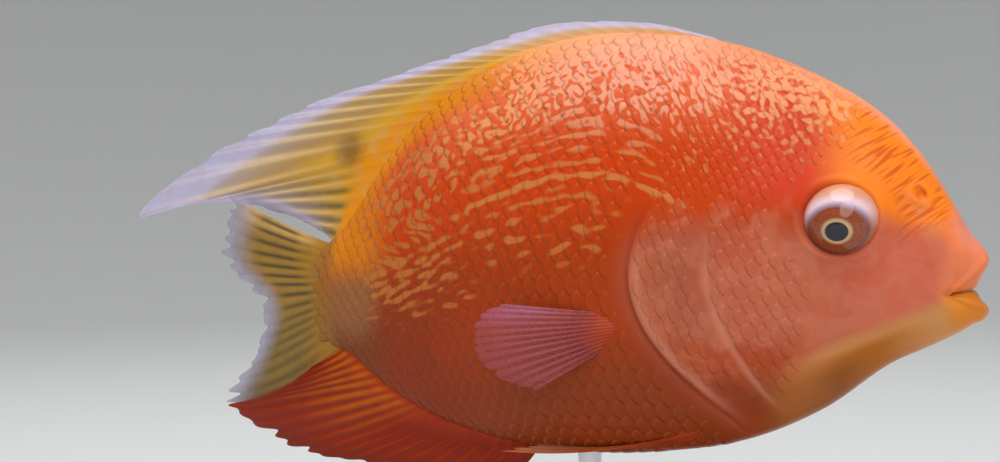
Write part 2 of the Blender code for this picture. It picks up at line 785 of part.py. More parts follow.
def main():
    clear_scene()
    nodes = bpy.data.collections.new("red_severum")
    work = bpy.data.collections.new("cutters")
    work.hide_render = True
    bpy.context.scene.collection.children.link(nodes)
    bpy.context.scene.collection.children.link(work)

    skin = colour_of("skin", (0.80, 0.18, 0.03), 0.35)
    cover = colour_of("gill_cover", (0.78, 0.24, 0.10), 0.3)
    fin_gold = colour_of("fin_gold", (0.80, 0.48, 0.10), 0.35)
    fin_red = colour_of("fin_red", (0.70, 0.12, 0.02), 0.35)
    fin_pale = colour_of("fin_pale", (0.72, 0.32, 0.30), 0.35)
    eye = colour_of("eye", (0.70, 0.62, 0.66), 0.1)
    wood = colour_of("stand_wood", (0.06, 0.035, 0.02), 0.4)
    steel = colour_of("stand_steel", (0.60, 0.61, 0.62), 0.3, 1.0)

    finish(build_head(work, nodes), skin)
    finish(build_trunk(work, nodes), skin)
    finish(build_stalk(nodes), skin)
    for side in (RIGHT, LEFT):
        finish(build_gill_cover(side, work, nodes), cover)
        finish(build_eye(side, nodes), eye)
        finish(build_pectoral(side, nodes), fin_pale)
        finish(build_pelvic(side, nodes), fin_red)
    finish(build_dorsal(nodes), fin_gold)
    finish(build_anal(nodes), fin_red)
    finish(build_caudal(nodes), fin_gold)
    base, rod = build_stand(nodes)
    finish(base, wood, bent=False)
    finish(rod, steel, bent=False)


main()
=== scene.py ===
import math

import bmesh
import bpy
import numpy as np
from mathutils import Matrix, Vector
from mathutils.kdtree import KDTree


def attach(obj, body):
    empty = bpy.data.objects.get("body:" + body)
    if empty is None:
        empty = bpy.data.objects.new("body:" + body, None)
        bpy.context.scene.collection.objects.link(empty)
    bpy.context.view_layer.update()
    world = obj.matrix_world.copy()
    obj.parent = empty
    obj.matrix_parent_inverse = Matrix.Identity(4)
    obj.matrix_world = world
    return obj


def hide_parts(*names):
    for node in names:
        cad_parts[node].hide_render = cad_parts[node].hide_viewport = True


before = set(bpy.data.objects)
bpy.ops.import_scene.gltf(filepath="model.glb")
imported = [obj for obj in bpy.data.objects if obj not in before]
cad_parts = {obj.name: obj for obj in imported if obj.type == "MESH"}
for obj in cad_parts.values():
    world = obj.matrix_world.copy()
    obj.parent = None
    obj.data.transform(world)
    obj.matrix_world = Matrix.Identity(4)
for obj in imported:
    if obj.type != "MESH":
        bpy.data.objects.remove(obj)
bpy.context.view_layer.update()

# The camera. A wide phone-like view from close in front of the fish's right side, a little ahead of
# its middle, so that the head is seen in profile and the tail runs away from it.
MM = 0.001
VIEW_YAW = math.radians(28)
VIEW_PITCH = math.radians(3)
VIEW_ROLL = math.radians(1.1)
CAMERA_PLACE = Vector((81.25, -199.27, 89.96)) * MM
bpy.ops.object.camera_add()
camera = bpy.context.object
camera.data.sensor_width = 36
camera.data.lens = 36
camera.data.clip_start = 0.01
turn = Matrix.Rotation(VIEW_YAW, 4, "Z") @ Matrix.Rotation(math.pi / 2 + VIEW_PITCH, 4, "X")
turn = turn @ Matrix.Rotation(-VIEW_ROLL, 4, "Z")
camera.matrix_world = Matrix.Translation(CAMERA_PLACE) @ turn
bpy.context.scene.camera = camera
bpy.context.scene.view_settings.view_transform = "Standard"

# The body's lines. The fish is laid out straight, in millimetres: behind the snout, to the side and
# up from the level of the mouth. Its sections, gill opening and bend are those of the solids.
SNOUT = 74.0
MOUTH_HEIGHT = 88.0
BEND = math.radians(8) / 80.0
BODY = [
    (2.0, 8.6, -6.4, 3.0, 0.5),
    (4.2, 13.2, -7.9, 5.0, 1.5),
    (9.8, 24.0, -10.9, 7.4, 3.5),
    (16.7, 32.7, -14.2, 9.3, 5.5),
    (28.6, 41.6, -22.8, 11.3, 6.0),
    (43.4, 49.2, -29.6, 13.0, 5.0),
    (62.0, 54.0, -33.2, 13.9, 4.0),
    (82.0, 54.6, -34.2, 13.0, 4.5),
    (100.0, 51.6, -32.6, 10.6, 5.0),
    (116.0, 44.6, -29.0, 7.8, 4.5),
    (130.0, 33.6, -23.4, 5.4, 3.0),
    (142.0, 20.4, -16.2, 3.7, 1.0),
    (150.0, 13.2, -12.8, 2.9, 0.0),
]
BACK_SHARPNESS = [(0, 0.85), (25, 0.85), (50, 1.2), (100, 1.3), (150, 1.0)]
BELLY_SHARPNESS = [(0, 0.8), (30, 0.9), (80, 0.95), (150, 1.0)]
GILL_LINE = [
    (-60, 39), (-33, 40), (-26, 44), (-20, 50), (-13, 56.5), (-6, 61), (2, 63),
    (10, 61.5), (18, 57.5), (30, 51.5), (42, 46), (50, 43.2), (80, 43.2),
]
BACK, BELLY, HALF_WIDTH, MIDDLE = 1, 2, 3, 4
SKIN_DEPTH = 0.25
EYE_BEHIND, EYE_HEIGHT, EYE_SIDE = 23.5, 12.4, 8.0


def curve(knots, at, column=1):
    """A smooth curve through knots of a place and its values, level beyond the outer ones."""
    x, y = np.array([(knot[0], knot[column]) for knot in knots], float).T
    at = np.clip(np.asarray(at, float), x[0], x[-1])
    slope = np.diff(y) / np.diff(x)
    bend = np.concatenate(([slope[0]], (slope[1:] + slope[:-1]) / 2, [slope[-1]]))
    i = np.clip(np.searchsorted(x, at, side="right") - 1, 0, len(x) - 2)
    t = (at - x[i]) / (x[i + 1] - x[i])
    rise = (x[i + 1] - x[i]) * (bend[i] * t * (1 - t) ** 2 - bend[i + 1] * t * t * (1 - t))
    return y[i] + (y[i + 1] - y[i]) * t * t * (3 - 2 * t) + rise


def ease(low, high, at):
    t = np.clip((np.asarray(at, float) - low) / (high - low), 0, 1)
    return t * t * (3 - 2 * t)


def fade(low, high, at):
    return 1 - ease(low, high, at)


def span(at, low, full, waning, gone):
    """Up from 0 to 1 between the first two places, and back down between the last two."""
    return ease(low, full, at) * fade(waning, gone, at)


def hump(centre, width, at):
    return np.exp(-(((np.asarray(at, float) - centre) / width) ** 2))


def station(line, behind):
    """One of the body's four lines at a distance behind the snout."""
    return curve(BODY, behind, line)


def triple(first, second, third):
    """Three values of each place side by side, such as its behind, side and height."""
    shape = np.broadcast(first, second, third).shape
    return np.stack([np.broadcast_to(v, shape) for v in (first, second, third)], axis=-1).astype(float)


def section(behind, sine):
    """Side and height on the body's section, from sine -1 at the belly to 1 at the back."""
    back, belly, half, middle = (station(line, behind) for line in (BACK, BELLY, HALF_WIDTH, MIDDLE))
    cosine = np.sqrt(np.clip(1 - sine * sine, 0, 1))
    sharp = np.where(sine > 0, curve(BACK_SHARPNESS, behind), curve(BELLY_SHARPNESS, behind))
    height = middle + np.where(sine > 0, back - middle, middle - belly) * sine
    return (half - SKIN_DEPTH) * cosine ** sharp, height


def in_row(points):
    """Carries points of the straight fish, in millimetres, to their place in the model, in metres."""
    x = SNOUT - points[..., 0]
    y = points[..., 1]
    z = points[..., 2] + MOUTH_HEIGHT
    turned = np.clip(-x, 0, None) * BEND
    bent_x = np.where(x < 0, -np.sin(turned) / BEND + y * np.sin(turned), x)
    bent_y = np.where(x < 0, (1 - np.cos(turned)) / BEND + y * np.cos(turned), y)
    return triple(bent_x, bent_y, z) * MM


# The skin, one soft wet hide over head, gill covers, trunk and tail stalk, drawn round from a flat
# sheet that closes along the belly. Lips, nostrils, eye rims and gill flaps are folds of it.
SKIN_AROUND = 392
GILL_SWELL = 1.1
LIP_CORNER = (6.4, 5.6, -1.7)
INNER_LIP = ((2.5, -0.68), (2.55, -0.84))
ROLLED_LIP = ((1.0, 1.7), (1.3, -2.5))
LIP_CREST = ((-0.35, 4.5), (0.0, -4.5))
LIP_BACK = ((0.5, 6.7), (1.0, -6.2))
LIP_GROOVE = ((1.7, 8.6), (2.6, -6.9))
MOUTH_DEPTH = 9.5
FACE_START = 12.0
FACE_RINGS = 18
ARCH = [
    (10, 3), (43, 11), (50, 15.3), (58, 19.8), (69, 23.3), (83, 23.2), (100, 18.8), (112, 14),
    (125, 9), (140, 4), (156, 1.5),
]
ARCH_ROW = 3
ARCH_FADE = 40.0
ROW_PITCH = 2.9
SCALE_PITCH = 3.2
ARCH_ARC = ARCH_ROW * ROW_PITCH
MIDDLE_HEIGHT = 4.0
ARCH_LEVEL = MIDDLE_HEIGHT + ARCH_ARC
NOSTRIL_BEHIND, NOSTRIL_HEIGHT = 10.0, 16.5
JAW_SLOPE = 0.42


def past_gill(behind, height):
    """How far behind the gill cover's edge a place is."""
    return behind - curve(GILL_LINE, height)


def from_eye(behind, height):
    return np.hypot(behind - EYE_BEHIND, height - EYE_HEIGHT)


def cheek_edge(height):
    """The bare groove between the cheek and the gill cover, behind the snout by height."""
    return 47.3 - 0.012 * (height - MIDDLE_HEIGHT) ** 2 - 0.12 * np.clip(-height, 0, None)


def face_relief(behind, height):
    """How far the folds of the head stand out of the smooth body, in millimetres."""
    past = past_gill(behind, height)
    body = span(height, -26, -14, 10, 22)
    cover = GILL_SWELL * ease(40, 50, behind) * body * fade(-0.2, 0.5, past)
    slit = -0.5 * hump(0.6, 0.55, past) * span(height, -34, -24, 12, 19)
    groove = -0.35 * hump(0, 0.9, behind - cheek_edge(height))
    groove = groove * span(height, -18, -10, 9, 16)
    puff = 0.35 * hump(44, 4, behind) * body
    off_eye = from_eye(behind, height)
    socket = -5.5 * fade(5.2, 6.5, off_eye)
    rim = 0.6 * hump(7.3, 0.9, off_eye) + 0.35 * hump(8.6, 2.2, off_eye)
    under_eye = -0.12 * hump(11.0, 1.3, off_eye) * ease(0, 8, EYE_HEIGHT - height)
    from_nostril = np.hypot(behind - NOSTRIL_BEHIND, (height - NOSTRIL_HEIGHT) * 0.8)
    nostril = 0.35 * hump(1.3, 0.4, from_nostril) - 1.3 * fade(0.5, 1.1, from_nostril)
    jaw = -0.3 * hump(0, 0.9, height + 3.4 + JAW_SLOPE * (behind - 6))
    jaw = jaw * span(behind, 8, 11, 22, 30)
    return cover + slit + groove + puff + socket + rim + under_eye + nostril + jaw


def lip_ring(control, sine, cosine):
    """One ring round the mouth, from its front points above and below and the shared corner."""
    share = np.abs(sine)
    front = np.where(sine >= 0, control[0][0], control[1][0])
    level = np.where(sine >= 0, control[0][1], control[1][1])
    corner_behind = LIP_CORNER[0] + 0.35 * (np.mean([control[0][0], control[1][0]]) - 1)
    corner_side = LIP_CORNER[1] - 0.45 * max(0.0, control[0][0]) * (control[0][1] < 3)
    corner_side = corner_side + 0.7 * (control[0][1] > 8)
    behind = front + (corner_behind - front) * (1 - share) ** 1.4
    side = corner_side * cosine ** 0.9
    height = LIP_CORNER[2] + (level - LIP_CORNER[2]) * share ** 0.85
    return triple(behind, side, height)


def through(rings, steps):
    """Smooth rings between control rings, with the given number of steps from each to the next."""
    done = []
    for k, count in enumerate(steps):
        before, here = rings[max(k - 1, 0)], rings[k]
        there, after = rings[k + 1], rings[min(k + 2, len(rings) - 1)]
        for t in np.arange(count) / count:
            lead, follow = (there - before) / 2, (after - here) / 2
            point = here * (1 - t) ** 2 * (1 + 2 * t) + there * t * t * (3 - 2 * t)
            done.append(point + lead * t * (1 - t) ** 2 - follow * t * t * (1 - t))
    return done


def moulded(name, points):
    """A sheet with one vertex for each point; its meeting borders are left for close_up to merge."""
    rows, columns = points.shape[0] - 1, points.shape[1] - 1
    bpy.ops.object.select_all(action="DESELECT")
    bpy.ops.mesh.primitive_grid_add(x_subdivisions=rows, y_subdivisions=columns, size=1, calc_uvs=True)
    piece = bpy.context.object
    piece.name = name
    mesh = piece.data
    flat = corners(mesh)
    i = np.rint((flat[:, 0] + 0.5) * rows).astype(int)
    j = np.rint((flat[:, 1] + 0.5) * columns).astype(int)
    straight = points[i, j]
    mesh.vertices.foreach_set("co", in_row(straight).ravel())
    mesh.uv_layers[0].name = "OFBake"
    give(mesh, "fish", straight * MM)
    return piece, i, j


def corners(mesh):
    """The places of a mesh's vertices."""
    places = np.empty(len(mesh.vertices) * 3)
    mesh.vertices.foreach_get("co", places)
    return places.reshape(-1, 3)


def give(mesh, name, values, kind="FLOAT_VECTOR"):
    """Stores one vector or colour for each vertex of a mesh."""
    field = "vector"
    if kind == "FLOAT_COLOR":
        field, values = "color", np.insert(values, 3, 1, axis=1)
    layer = mesh.attributes.new(name, kind, "POINT")
    layer.data.foreach_set(field, np.ascontiguousarray(values, float).ravel())


def close_up(piece, merged=True):
    """Merges the borders that meet, turns the faces outwards and shades them smooth."""
    bpy.ops.object.select_all(action="DESELECT")
    piece.select_set(True)
    bpy.context.view_layer.objects.active = piece
    bpy.ops.object.mode_set(mode="EDIT")
    bpy.ops.mesh.select_all(action="SELECT")
    if merged:
        bpy.ops.mesh.remove_doubles(threshold=0.002 * MM)
    bpy.ops.mesh.normals_make_consistent(inside=False)
    bpy.ops.object.mode_set(mode="OBJECT")
    piece.data.shade_smooth()


around = np.arange(SKIN_AROUND + 1) / SKIN_AROUND
climb = 2 * np.where(around <= 0.5, 2 * around, 2 - 2 * around) - 1
sine = 0.5 * climb + 0.5 * np.sin(math.pi / 2 * climb)
sine = np.where(np.abs(climb) > 0.9999, np.sign(climb), sine)
cosine = np.sqrt(np.clip(1 - sine * sine, 0, 1))
facing = np.where(around <= 0.5, 1.0, -1.0)

mouth_floor = triple(MOUTH_DEPTH, 0 * sine, -1.5)
throat = triple(7.0, 2.4 * cosine, -1.2 + 1.1 * sine)
rings = [mouth_floor, throat]
rings += [lip_ring(c, sine, cosine) for c in (INNER_LIP, ROLLED_LIP, LIP_CREST, LIP_BACK, LIP_GROOVE)]
skin_rings = through(rings, (3, 4, 4, 5, 5, 4))
groove = rings[-1]
groove_side, groove_height = section(groove[:, 0], sine)
misfit = triple(0, groove[:, 1] - groove_side, groove[:, 2] - groove_height)
for t in np.arange(FACE_RINGS) / FACE_RINGS:
    behind = groove[:, 0] + (FACE_START - groove[:, 0]) * t
    side, height = section(behind, sine)
    face = triple(behind, side, height) + misfit * fade(0, 1, t)
    face[:, 1] += face_relief(face[:, 0], face[:, 2]) * ease(0, 0.4, t) * cosine
    skin_rings.append(face)
levels = np.concatenate((np.arange(FACE_START, 64, 0.4), np.arange(64, 150.01, 1.25)))
for level in levels:
    draw = span(level, 20, 50, 62, 100)
    behind = np.full_like(sine, level)
    for _ in range(3):
        side, height = section(behind, sine)
        behind = level + (curve(GILL_LINE, height) - 56) * draw
    side, height = section(behind, sine)
    side = side + face_relief(behind, height) * np.minimum(1, 2 * cosine)
    skin_rings.append(triple(behind, np.clip(side, 0, None), height))
last = skin_rings[-1]
for t in (0.2, 0.4, 0.6, 0.8, 0.92, 1.0):
    end = last.copy()
    end[:, 0] += 5.0 * t
    end[:, 1] *= math.sqrt(1 - t * t) if t < 1 else 0
    end[:, 2] *= 1 - 0.5 * t * t
    skin_rings.append(end)
skin_points = np.array(skin_rings)
skin_points[..., 1] *= facing
skin, skin_i, skin_j = moulded("skin", skin_points)


# The fish's colours: a pale peach back netted with red, a red flank crossed by worm-like pale lines
# and dashes, a salmon cheek whose pink is partly painted reflection haze, a yellow-orange throat and a
# pinkish-brown patch on the tail stalk. Some highlights and shade on the head are painted too.
PEACH = (0.88, 0.36, 0.13)
RED = (0.62, 0.052, 0.003)
BACK_RED = (0.84, 0.155, 0.05)
MIDDLE_RED = (0.4, 0.042, 0.003)
DEEP_RED = (0.28, 0.042, 0.007)
REAR_RED = (0.27, 0.028, 0.002)
CRIMSON = (0.7, 0.055, 0.022)
BROW_ORANGE = (1.0, 0.24, 0.014)
BROW_STREAK = (0.6, 0.045, 0.006)
# salmon pink of the lower head, partly its own colour and partly a painted reflection haze
SALMON_AND_HAZE = (0.53, 0.125, 0.066)
SNOUT_ROSE = (0.64, 0.14, 0.078)
# a painted highlight on the bridge of the snout
SNOUT_HIGHLIGHT = (0.86, 0.3, 0.22)
GILL_BROWN = (0.42, 0.1, 0.052)
GILL_RED = (0.26, 0.04, 0.008)
CHEEK_RED = (0.42, 0.06, 0.016)
# painted highlights along the raised edges of the gill cover
GILL_EDGE_HIGHLIGHT = (0.62, 0.245, 0.15)
# painted shade in the gill slit
GILL_SLIT_SHADE = (0.36, 0.055, 0.01)
JAW_TAN = (0.64, 0.285, 0.095)
THROAT = (0.43, 0.13, 0.01)
# painted shade for the underside of the throat
THROAT_PAINTED_SHADE = (0.24, 0.07, 0.012)
GOLD = (0.74, 0.235, 0.004)
STALK_BROWN = (0.31, 0.12, 0.04)
STALK_DARK = (0.19, 0.042, 0.006)
# a painted highlight along the top edge of the forehead and nape
NAPE_EDGE_HIGHLIGHT = (0.92, 0.4, 0.27)
MARK_PALE = (0.88, 0.345, 0.13)
MARK_PINK = (0.9, 0.38, 0.24)
MARK_OCHRE = (0.5, 0.15, 0.024)
TAIL_OLIVE = (0.31, 0.135, 0.026)
UPPER_LIP = (0.95, 0.24, 0.085)
LOWER_LIP = (0.72, 0.24, 0.026)


def painted(ground, *coats):
    """A ground colour with other colours laid over it, each as far as its share says."""
    tone = np.array(ground)
    for colour, share in coats:
        share = np.asarray(share)[..., None]
        tone = tone * (1 - share) + np.array(colour) * share
    return tone


STREAK_LEAN = math.radians(38)
STREAK_LENGTH = 4.6
STREAK_WIDTH = 0.65


def brow_streaks(behind, height):
    """Where the forehead's short slanting furrows run: along and across them, and how far they show."""
    along = -behind * math.cos(STREAK_LEAN) + height * math.sin(STREAK_LEAN)
    across = behind * math.sin(STREAK_LEAN) + height * math.cos(STREAK_LEAN)
    area = ease(9.0, 11.5, from_eye(behind, height)) * ease(9, 13, height + 0.5 * (behind - 8))
    area = area * span(behind, 4.5, 7, 18, 24) * ease(0.4, 2.2, station(BACK, behind) - height)
    area = area * ease(1.8, 2.8, np.hypot(behind - NOSTRIL_BEHIND, height - NOSTRIL_HEIGHT))
    return triple(along / STREAK_LENGTH, across / STREAK_WIDTH, area)


def spot(behind, height, centre, spread):
    """A soft round patch, from 1 at its centre to 0."""
    away = np.hypot((behind - centre[0]) / spread[0], (height - centre[1]) / spread[1])
    return hump(0, 1, away ** 2)


def climbed(behind, height):
    """How far from the belly's line up to the back's a place is, from 0 to 1."""
    back, belly = station(BACK, behind), station(BELLY, behind)
    return (height - belly) / np.maximum(back - belly, 1)


def skin_tone(behind, height):
    """The skin's broad colour at a place of the straight fish, without its fine marks."""
    share = climbed(behind, height)
    past = past_gill(behind, height)
    head = fade(-9, 6, past)
    low_head = head * fade(6, 16, height)
    along_slit = span(height, -26, -18, 2, 12)
    brow = fade(19, 30, behind) * ease(8, 13.5, height + 0.35 * (12 - behind))
    slope = height + JAW_SLOPE * (behind - 8)
    chin = fade(24, 41, behind + 0.25 * (height + 22))
    stalk = spot(behind, height, (141, -1), (11, 10))
    lips = fade(5.5, 9, behind + np.abs(height) * 0.2)
    return painted(
        RED,
        (MIDDLE_RED, fade(0.42, 0.68, share)),
        (DEEP_RED, fade(0.12, 0.42, share)),
        (REAR_RED, fade(0.3, 0.55, share) * ease(90, 115, behind) * 0.8),
        (BACK_RED, ease(0.68, 0.9, share) * (0.85 - 0.5 * ease(100, 125, behind))),
        (PEACH, ease(0.93, 1.0, share) * ease(30, 50, behind) * 0.8),
        (GOLD, ease(0.86, 0.96, share) * ease(80, 112, behind)),
        (CRIMSON, fade(34, 48, behind) * ease(12, 20, height)),
        # the lower head's salmon pink: partly the skin's own colour, partly a painted reflection haze
        # over it
        (SALMON_AND_HAZE, low_head),
        (SNOUT_ROSE, low_head * fade(14, 28, behind)),
        (GILL_BROWN, low_head * ease(38, 52, behind)),
        (CHEEK_RED, head * fade(-13, -7, height) * ease(27, 34, behind) * 0.9),
        (GILL_RED, head * fade(-22, -13, height) * ease(30, 38, behind)),
        # painted highlights: pale lines of light along the gill cover's rear edge and along the cheek's
        # groove
        (GILL_EDGE_HIGHLIGHT, hump(-1.6, 1.3, past) * along_slit * 0.6),
        (GILL_EDGE_HIGHLIGHT, hump(0.2, 0.8, behind - cheek_edge(height)) * along_slit * 0.55),
        # painted shade: a darker red line in the recess of the gill slit
        (GILL_SLIT_SHADE, hump(0.4, 0.6, past) * along_slit * 0.8),
        (BROW_ORANGE, brow),
        (JAW_TAN, fade(-4.5, -1.5, slope) * chin),
        (THROAT, fade(-6.5, -3.2, slope) * ease(7, 19, behind) * chin),
        # painted shade: the underside of the throat is darkened where it is turned away from the light
        (THROAT_PAINTED_SHADE, fade(-9, -5, slope) * ease(17, 26, behind) * chin * 0.85),
        (STALK_DARK, ease(124, 138, behind) * fade(-10, -2, height) * 0.8),
        (STALK_BROWN, stalk * ease(124, 132, behind)),
        (GOLD, ease(124, 138, behind) * ease(0, 12, height)),
        (TAIL_OLIVE, ease(145, 150.5, behind) * 0.9),
        # painted highlight: a pinkish band of light along the top edge of the forehead and nape
        (NAPE_EDGE_HIGHLIGHT, ease(0.93, 1.0, share) * fade(48, 62, behind) * ease(4, 12, behind) * 0.6),
        (UPPER_LIP, lips * ease(-1.5, 0, height)),
        (LOWER_LIP, lips * fade(-1.5, 0, height)),
        # painted highlight: a pinkish spot of light on the bridge of the snout
        (SNOUT_HIGHLIGHT, spot(behind, height, (1.5, 11), (3.4, 5)) * 0.8),
    )


def mark_colour(behind, height):
    """The colour of the pale marks: peach on the back, ochre lower down and towards the tail."""
    share = climbed(behind, height)
    return painted(
        MARK_PALE,
        (MARK_PINK, spot(behind, share, (62, 0.86), (26, 0.16))),
        (MARK_OCHRE, fade(0.62, 0.88, share) * 0.75),
        (MARK_OCHRE, ease(96, 122, behind) * 0.8),
    )


def pale_marks(behind, height, rows):
    """How much of the ground is left pale between the red marks, from 0 to 1."""
    share = climbed(behind, height)
    off_eye = ease(8.5, 12.5, from_eye(behind, height))
    upper = (0.44 + 0.34 * ease(0.74, 0.95, share)) * ease(0.58, 0.72, share)
    upper = upper * ease(16, 27, behind) * off_eye
    upper = upper * (1 - 0.4 * hump(0.7, 0.08, share) * fade(80, 100, behind))
    upper = upper + 0.3 * ease(0.9, 0.97, share) * ease(44, 60, behind)
    flank = 0.26 * ease(0.34, 0.6, share) * ease(58, 74, behind)
    dashes = 0.54 * ease(92, 118, behind) * ease(0.24, 0.42, share)
    arch = 0.62 * hump(ARCH_ROW, 0.34, rows) * span(behind, 46, 52, 126, 136)
    edge = fade(132, 140, behind) * (1 - ease(0.82, 0.93, share) * ease(82, 106, behind))
    return np.clip(np.max((upper, flank, dashes, arch), axis=0) * edge, 0, 1)


def along_rows(behind, arc):
    """The scale row at a place, from the distance up the flank above its middle line."""
    rise = curve(ARCH, behind) - ARCH_LEVEL
    middle = (arc - rise * (1 - ARCH_ARC / ARCH_FADE)) / (1 + rise / ARCH_FADE)
    share = 1 + (middle - ARCH_ARC) / ARCH_FADE
    return np.where(share > 1, arc - rise, np.where(share < 0, arc, middle)) / ROW_PITCH


# how far along the section's outline each height on the flank lies, from the middle line up
GIRTH_STEP = 0.5
GIRTH_BEHIND = np.arange(8, 156.1, GIRTH_STEP)
GIRTH_SINE = np.sin(np.linspace(-math.pi / 2, math.pi / 2, 241))
girth_side, girth_height = section(*np.meshgrid(GIRTH_BEHIND, GIRTH_SINE, indexing="ij"))
girth_arc = np.cumsum(np.hypot(np.diff(girth_side), np.diff(girth_height)), axis=1)
girth_arc = np.insert(girth_arc, 0, 0, axis=1)
girth_arc -= np.array([[np.interp(MIDDLE_HEIGHT, h, a)] for h, a in zip(girth_height, girth_arc)])
ARC_LEVELS = np.arange(-60, 80.1, GIRTH_STEP)
arc_sine = np.array([np.interp(ARC_LEVELS, a, GIRTH_SINE) for a in girth_arc])


def table_at(table, levels, behind, level):
    """Reads a table between its rows, by distance behind the snout, and its columns, by level."""
    row = np.clip((behind - GIRTH_BEHIND[0]) / GIRTH_STEP, 0, len(GIRTH_BEHIND) - 1.001)
    column = np.clip((level - levels[0]) / (levels[1] - levels[0]), 0, len(levels) - 1.001)
    i, j = row.astype(int), column.astype(int)
    u, v = row - i, column - j
    low = table[i, j] * (1 - v) + table[i, j + 1] * v
    high = table[i + 1, j] * (1 - v) + table[i + 1, j + 1] * v
    return low * (1 - u) + high * u


HEIGHT_LEVELS = np.arange(-40, 60.1, GIRTH_STEP)
height_arc = np.array([np.interp(HEIGHT_LEVELS, h, a) for h, a in zip(girth_height, girth_arc)])


def mark_piece(piece, straight, edge):
    """Gives a piece of skin or coat the tone, marks, rows and rim that its colours read."""
    behind, height = straight[:, 0], straight[:, 2]
    give(piece.data, "tone", skin_tone(behind, height), "FLOAT_COLOR")
    give(piece.data, "mark", mark_colour(behind, height), "FLOAT_COLOR")
    rows = along_rows(behind, table_at(height_arc, HEIGHT_LEVELS, behind, height))
    # the marks are small on the nape and broad towards the tail
    upper = ease(1, 5, rows)
    drawn = behind + (0.3 * np.minimum(behind - 56, 0) - 0.34 * np.maximum(behind - 94, 0)) * upper
    nape, rear = 0.22 * fade(40, 60, behind), 0.26 * ease(90, 112, behind)
    spread = rows * (1 + (nape - rear) * upper)
    pale = pale_marks(behind, height, rows)
    give(piece.data, "lie", triple(drawn / SCALE_PITCH, spread, pale))
    # they are dragged into dashes along the rows on the flank and the tail stalk
    dragged = np.maximum(ease(104, 120, behind) * 0.9, fade(6, 9, rows) * ease(48, 60, behind))
    dragged = dragged * (1 - 0.8 * ease(94, 108, behind) * ease(1, 4, rows))
    dragged = np.maximum(dragged, 0.4 * fade(44, 60, behind))
    face = fade(-6, 3, past_gill(behind, height)) * fade(12, 20, height)
    face = face * (0.2 + 0.8 * ease(-4.5, -1, height + JAW_SLOPE * (behind - 8)))
    give(piece.data, "rim", triple(edge, dragged, face))
    give(piece.data, "brow", brow_streaks(behind, height))


flat_skin = skin_points[skin_i, skin_j]
mark_piece(skin, flat_skin, np.zeros(len(flat_skin)))
close_up(skin)


def put(node, slot, value):
    """Sets a node's slot to a number or a colour, or links another node's output to it."""
    slot = node.inputs[slot]
    if isinstance(value, bpy.types.NodeSocket):
        slot.id_data.links.new(value, slot)
    else:
        slot.default_value = (*value, 1.0) if slot.type == "RGBA" else value


def material(name, roughness, coat=0.0, coat_roughness=0.1, metallic=0.0, specular=0.5):
    """A new finish and its shader."""
    finish = bpy.data.materials.new(name)
    finish.use_nodes = True
    shader = finish.node_tree.nodes["Principled BSDF"]
    put(shader, "Roughness", roughness)
    put(shader, "Metallic", metallic)
    put(shader, "Coat Weight", coat)
    put(shader, "Coat Roughness", coat_roughness)
    put(shader, "Specular IOR Level", specular)
    return finish, shader


def new_node(kind, slots, **settings):
    """A new node beside those that its slots are linked to."""
    tree = next(value.id_data for value in slots.values() if isinstance(value, bpy.types.NodeSocket))
    node = tree.nodes.new(kind)
    for name, value in settings.items():
        setattr(node, name, value)
    for slot, value in slots.items():
        put(node, slot, value)
    return node


def attribute(shader, name, output="Vector"):
    node = shader.id_data.nodes.new("ShaderNodeAttribute")
    node.attribute_name = name
    return node.outputs[output]


def split(vector):
    return new_node("ShaderNodeSeparateXYZ", {0: vector}).outputs


def maths(operation, *values):
    return new_node("ShaderNodeMath", dict(enumerate(values)), operation=operation).outputs[0]


def product(first, second):
    return maths("MULTIPLY", first, second)


def scaled(value, by, plus):
    return maths("MULTIPLY_ADD", value, by, plus)


def between(value, low, high):
    """0 below low and 1 above high, with a soft step between."""
    slots = {"Value": value, "From Min": low, "From Max": high}
    return new_node("ShaderNodeMapRange", slots, interpolation_type="SMOOTHSTEP").outputs[0]


def mixed(share, first, second):
    return new_node("ShaderNodeMix", {0: share, 6: first, 7: second}, data_type="RGBA").outputs[2]


def noise(vector, scale, detail=2.0, distortion=0.0):
    slots = {"Vector": vector, "Scale": scale, "Detail": detail, "Distortion": distortion}
    return new_node("ShaderNodeTexNoise", slots).outputs[0]


def stretched(vector, scale):
    return new_node("ShaderNodeMapping", {"Vector": vector, "Scale": scale}).outputs[0]


def bumped(shader, height, strength, distance):
    """Fine relief on a finish's surface."""
    slots = {"Strength": strength, "Distance": distance, "Height": height}
    put(shader, "Normal", new_node("ShaderNodeBump", slots).outputs[0])


MARK_RED = (0.5, 0.045, 0.004)
WORM_BANDS = 3.0
FLANK_START = 40.5
SCALE_MIDDLE = FLANK_START / SCALE_PITCH + 0.5
FACE_PINK = (0.62, 0.2, 0.115)
FACE_ORANGE = (0.66, 0.125, 0.02)
FULL_TURN = 2 * math.pi


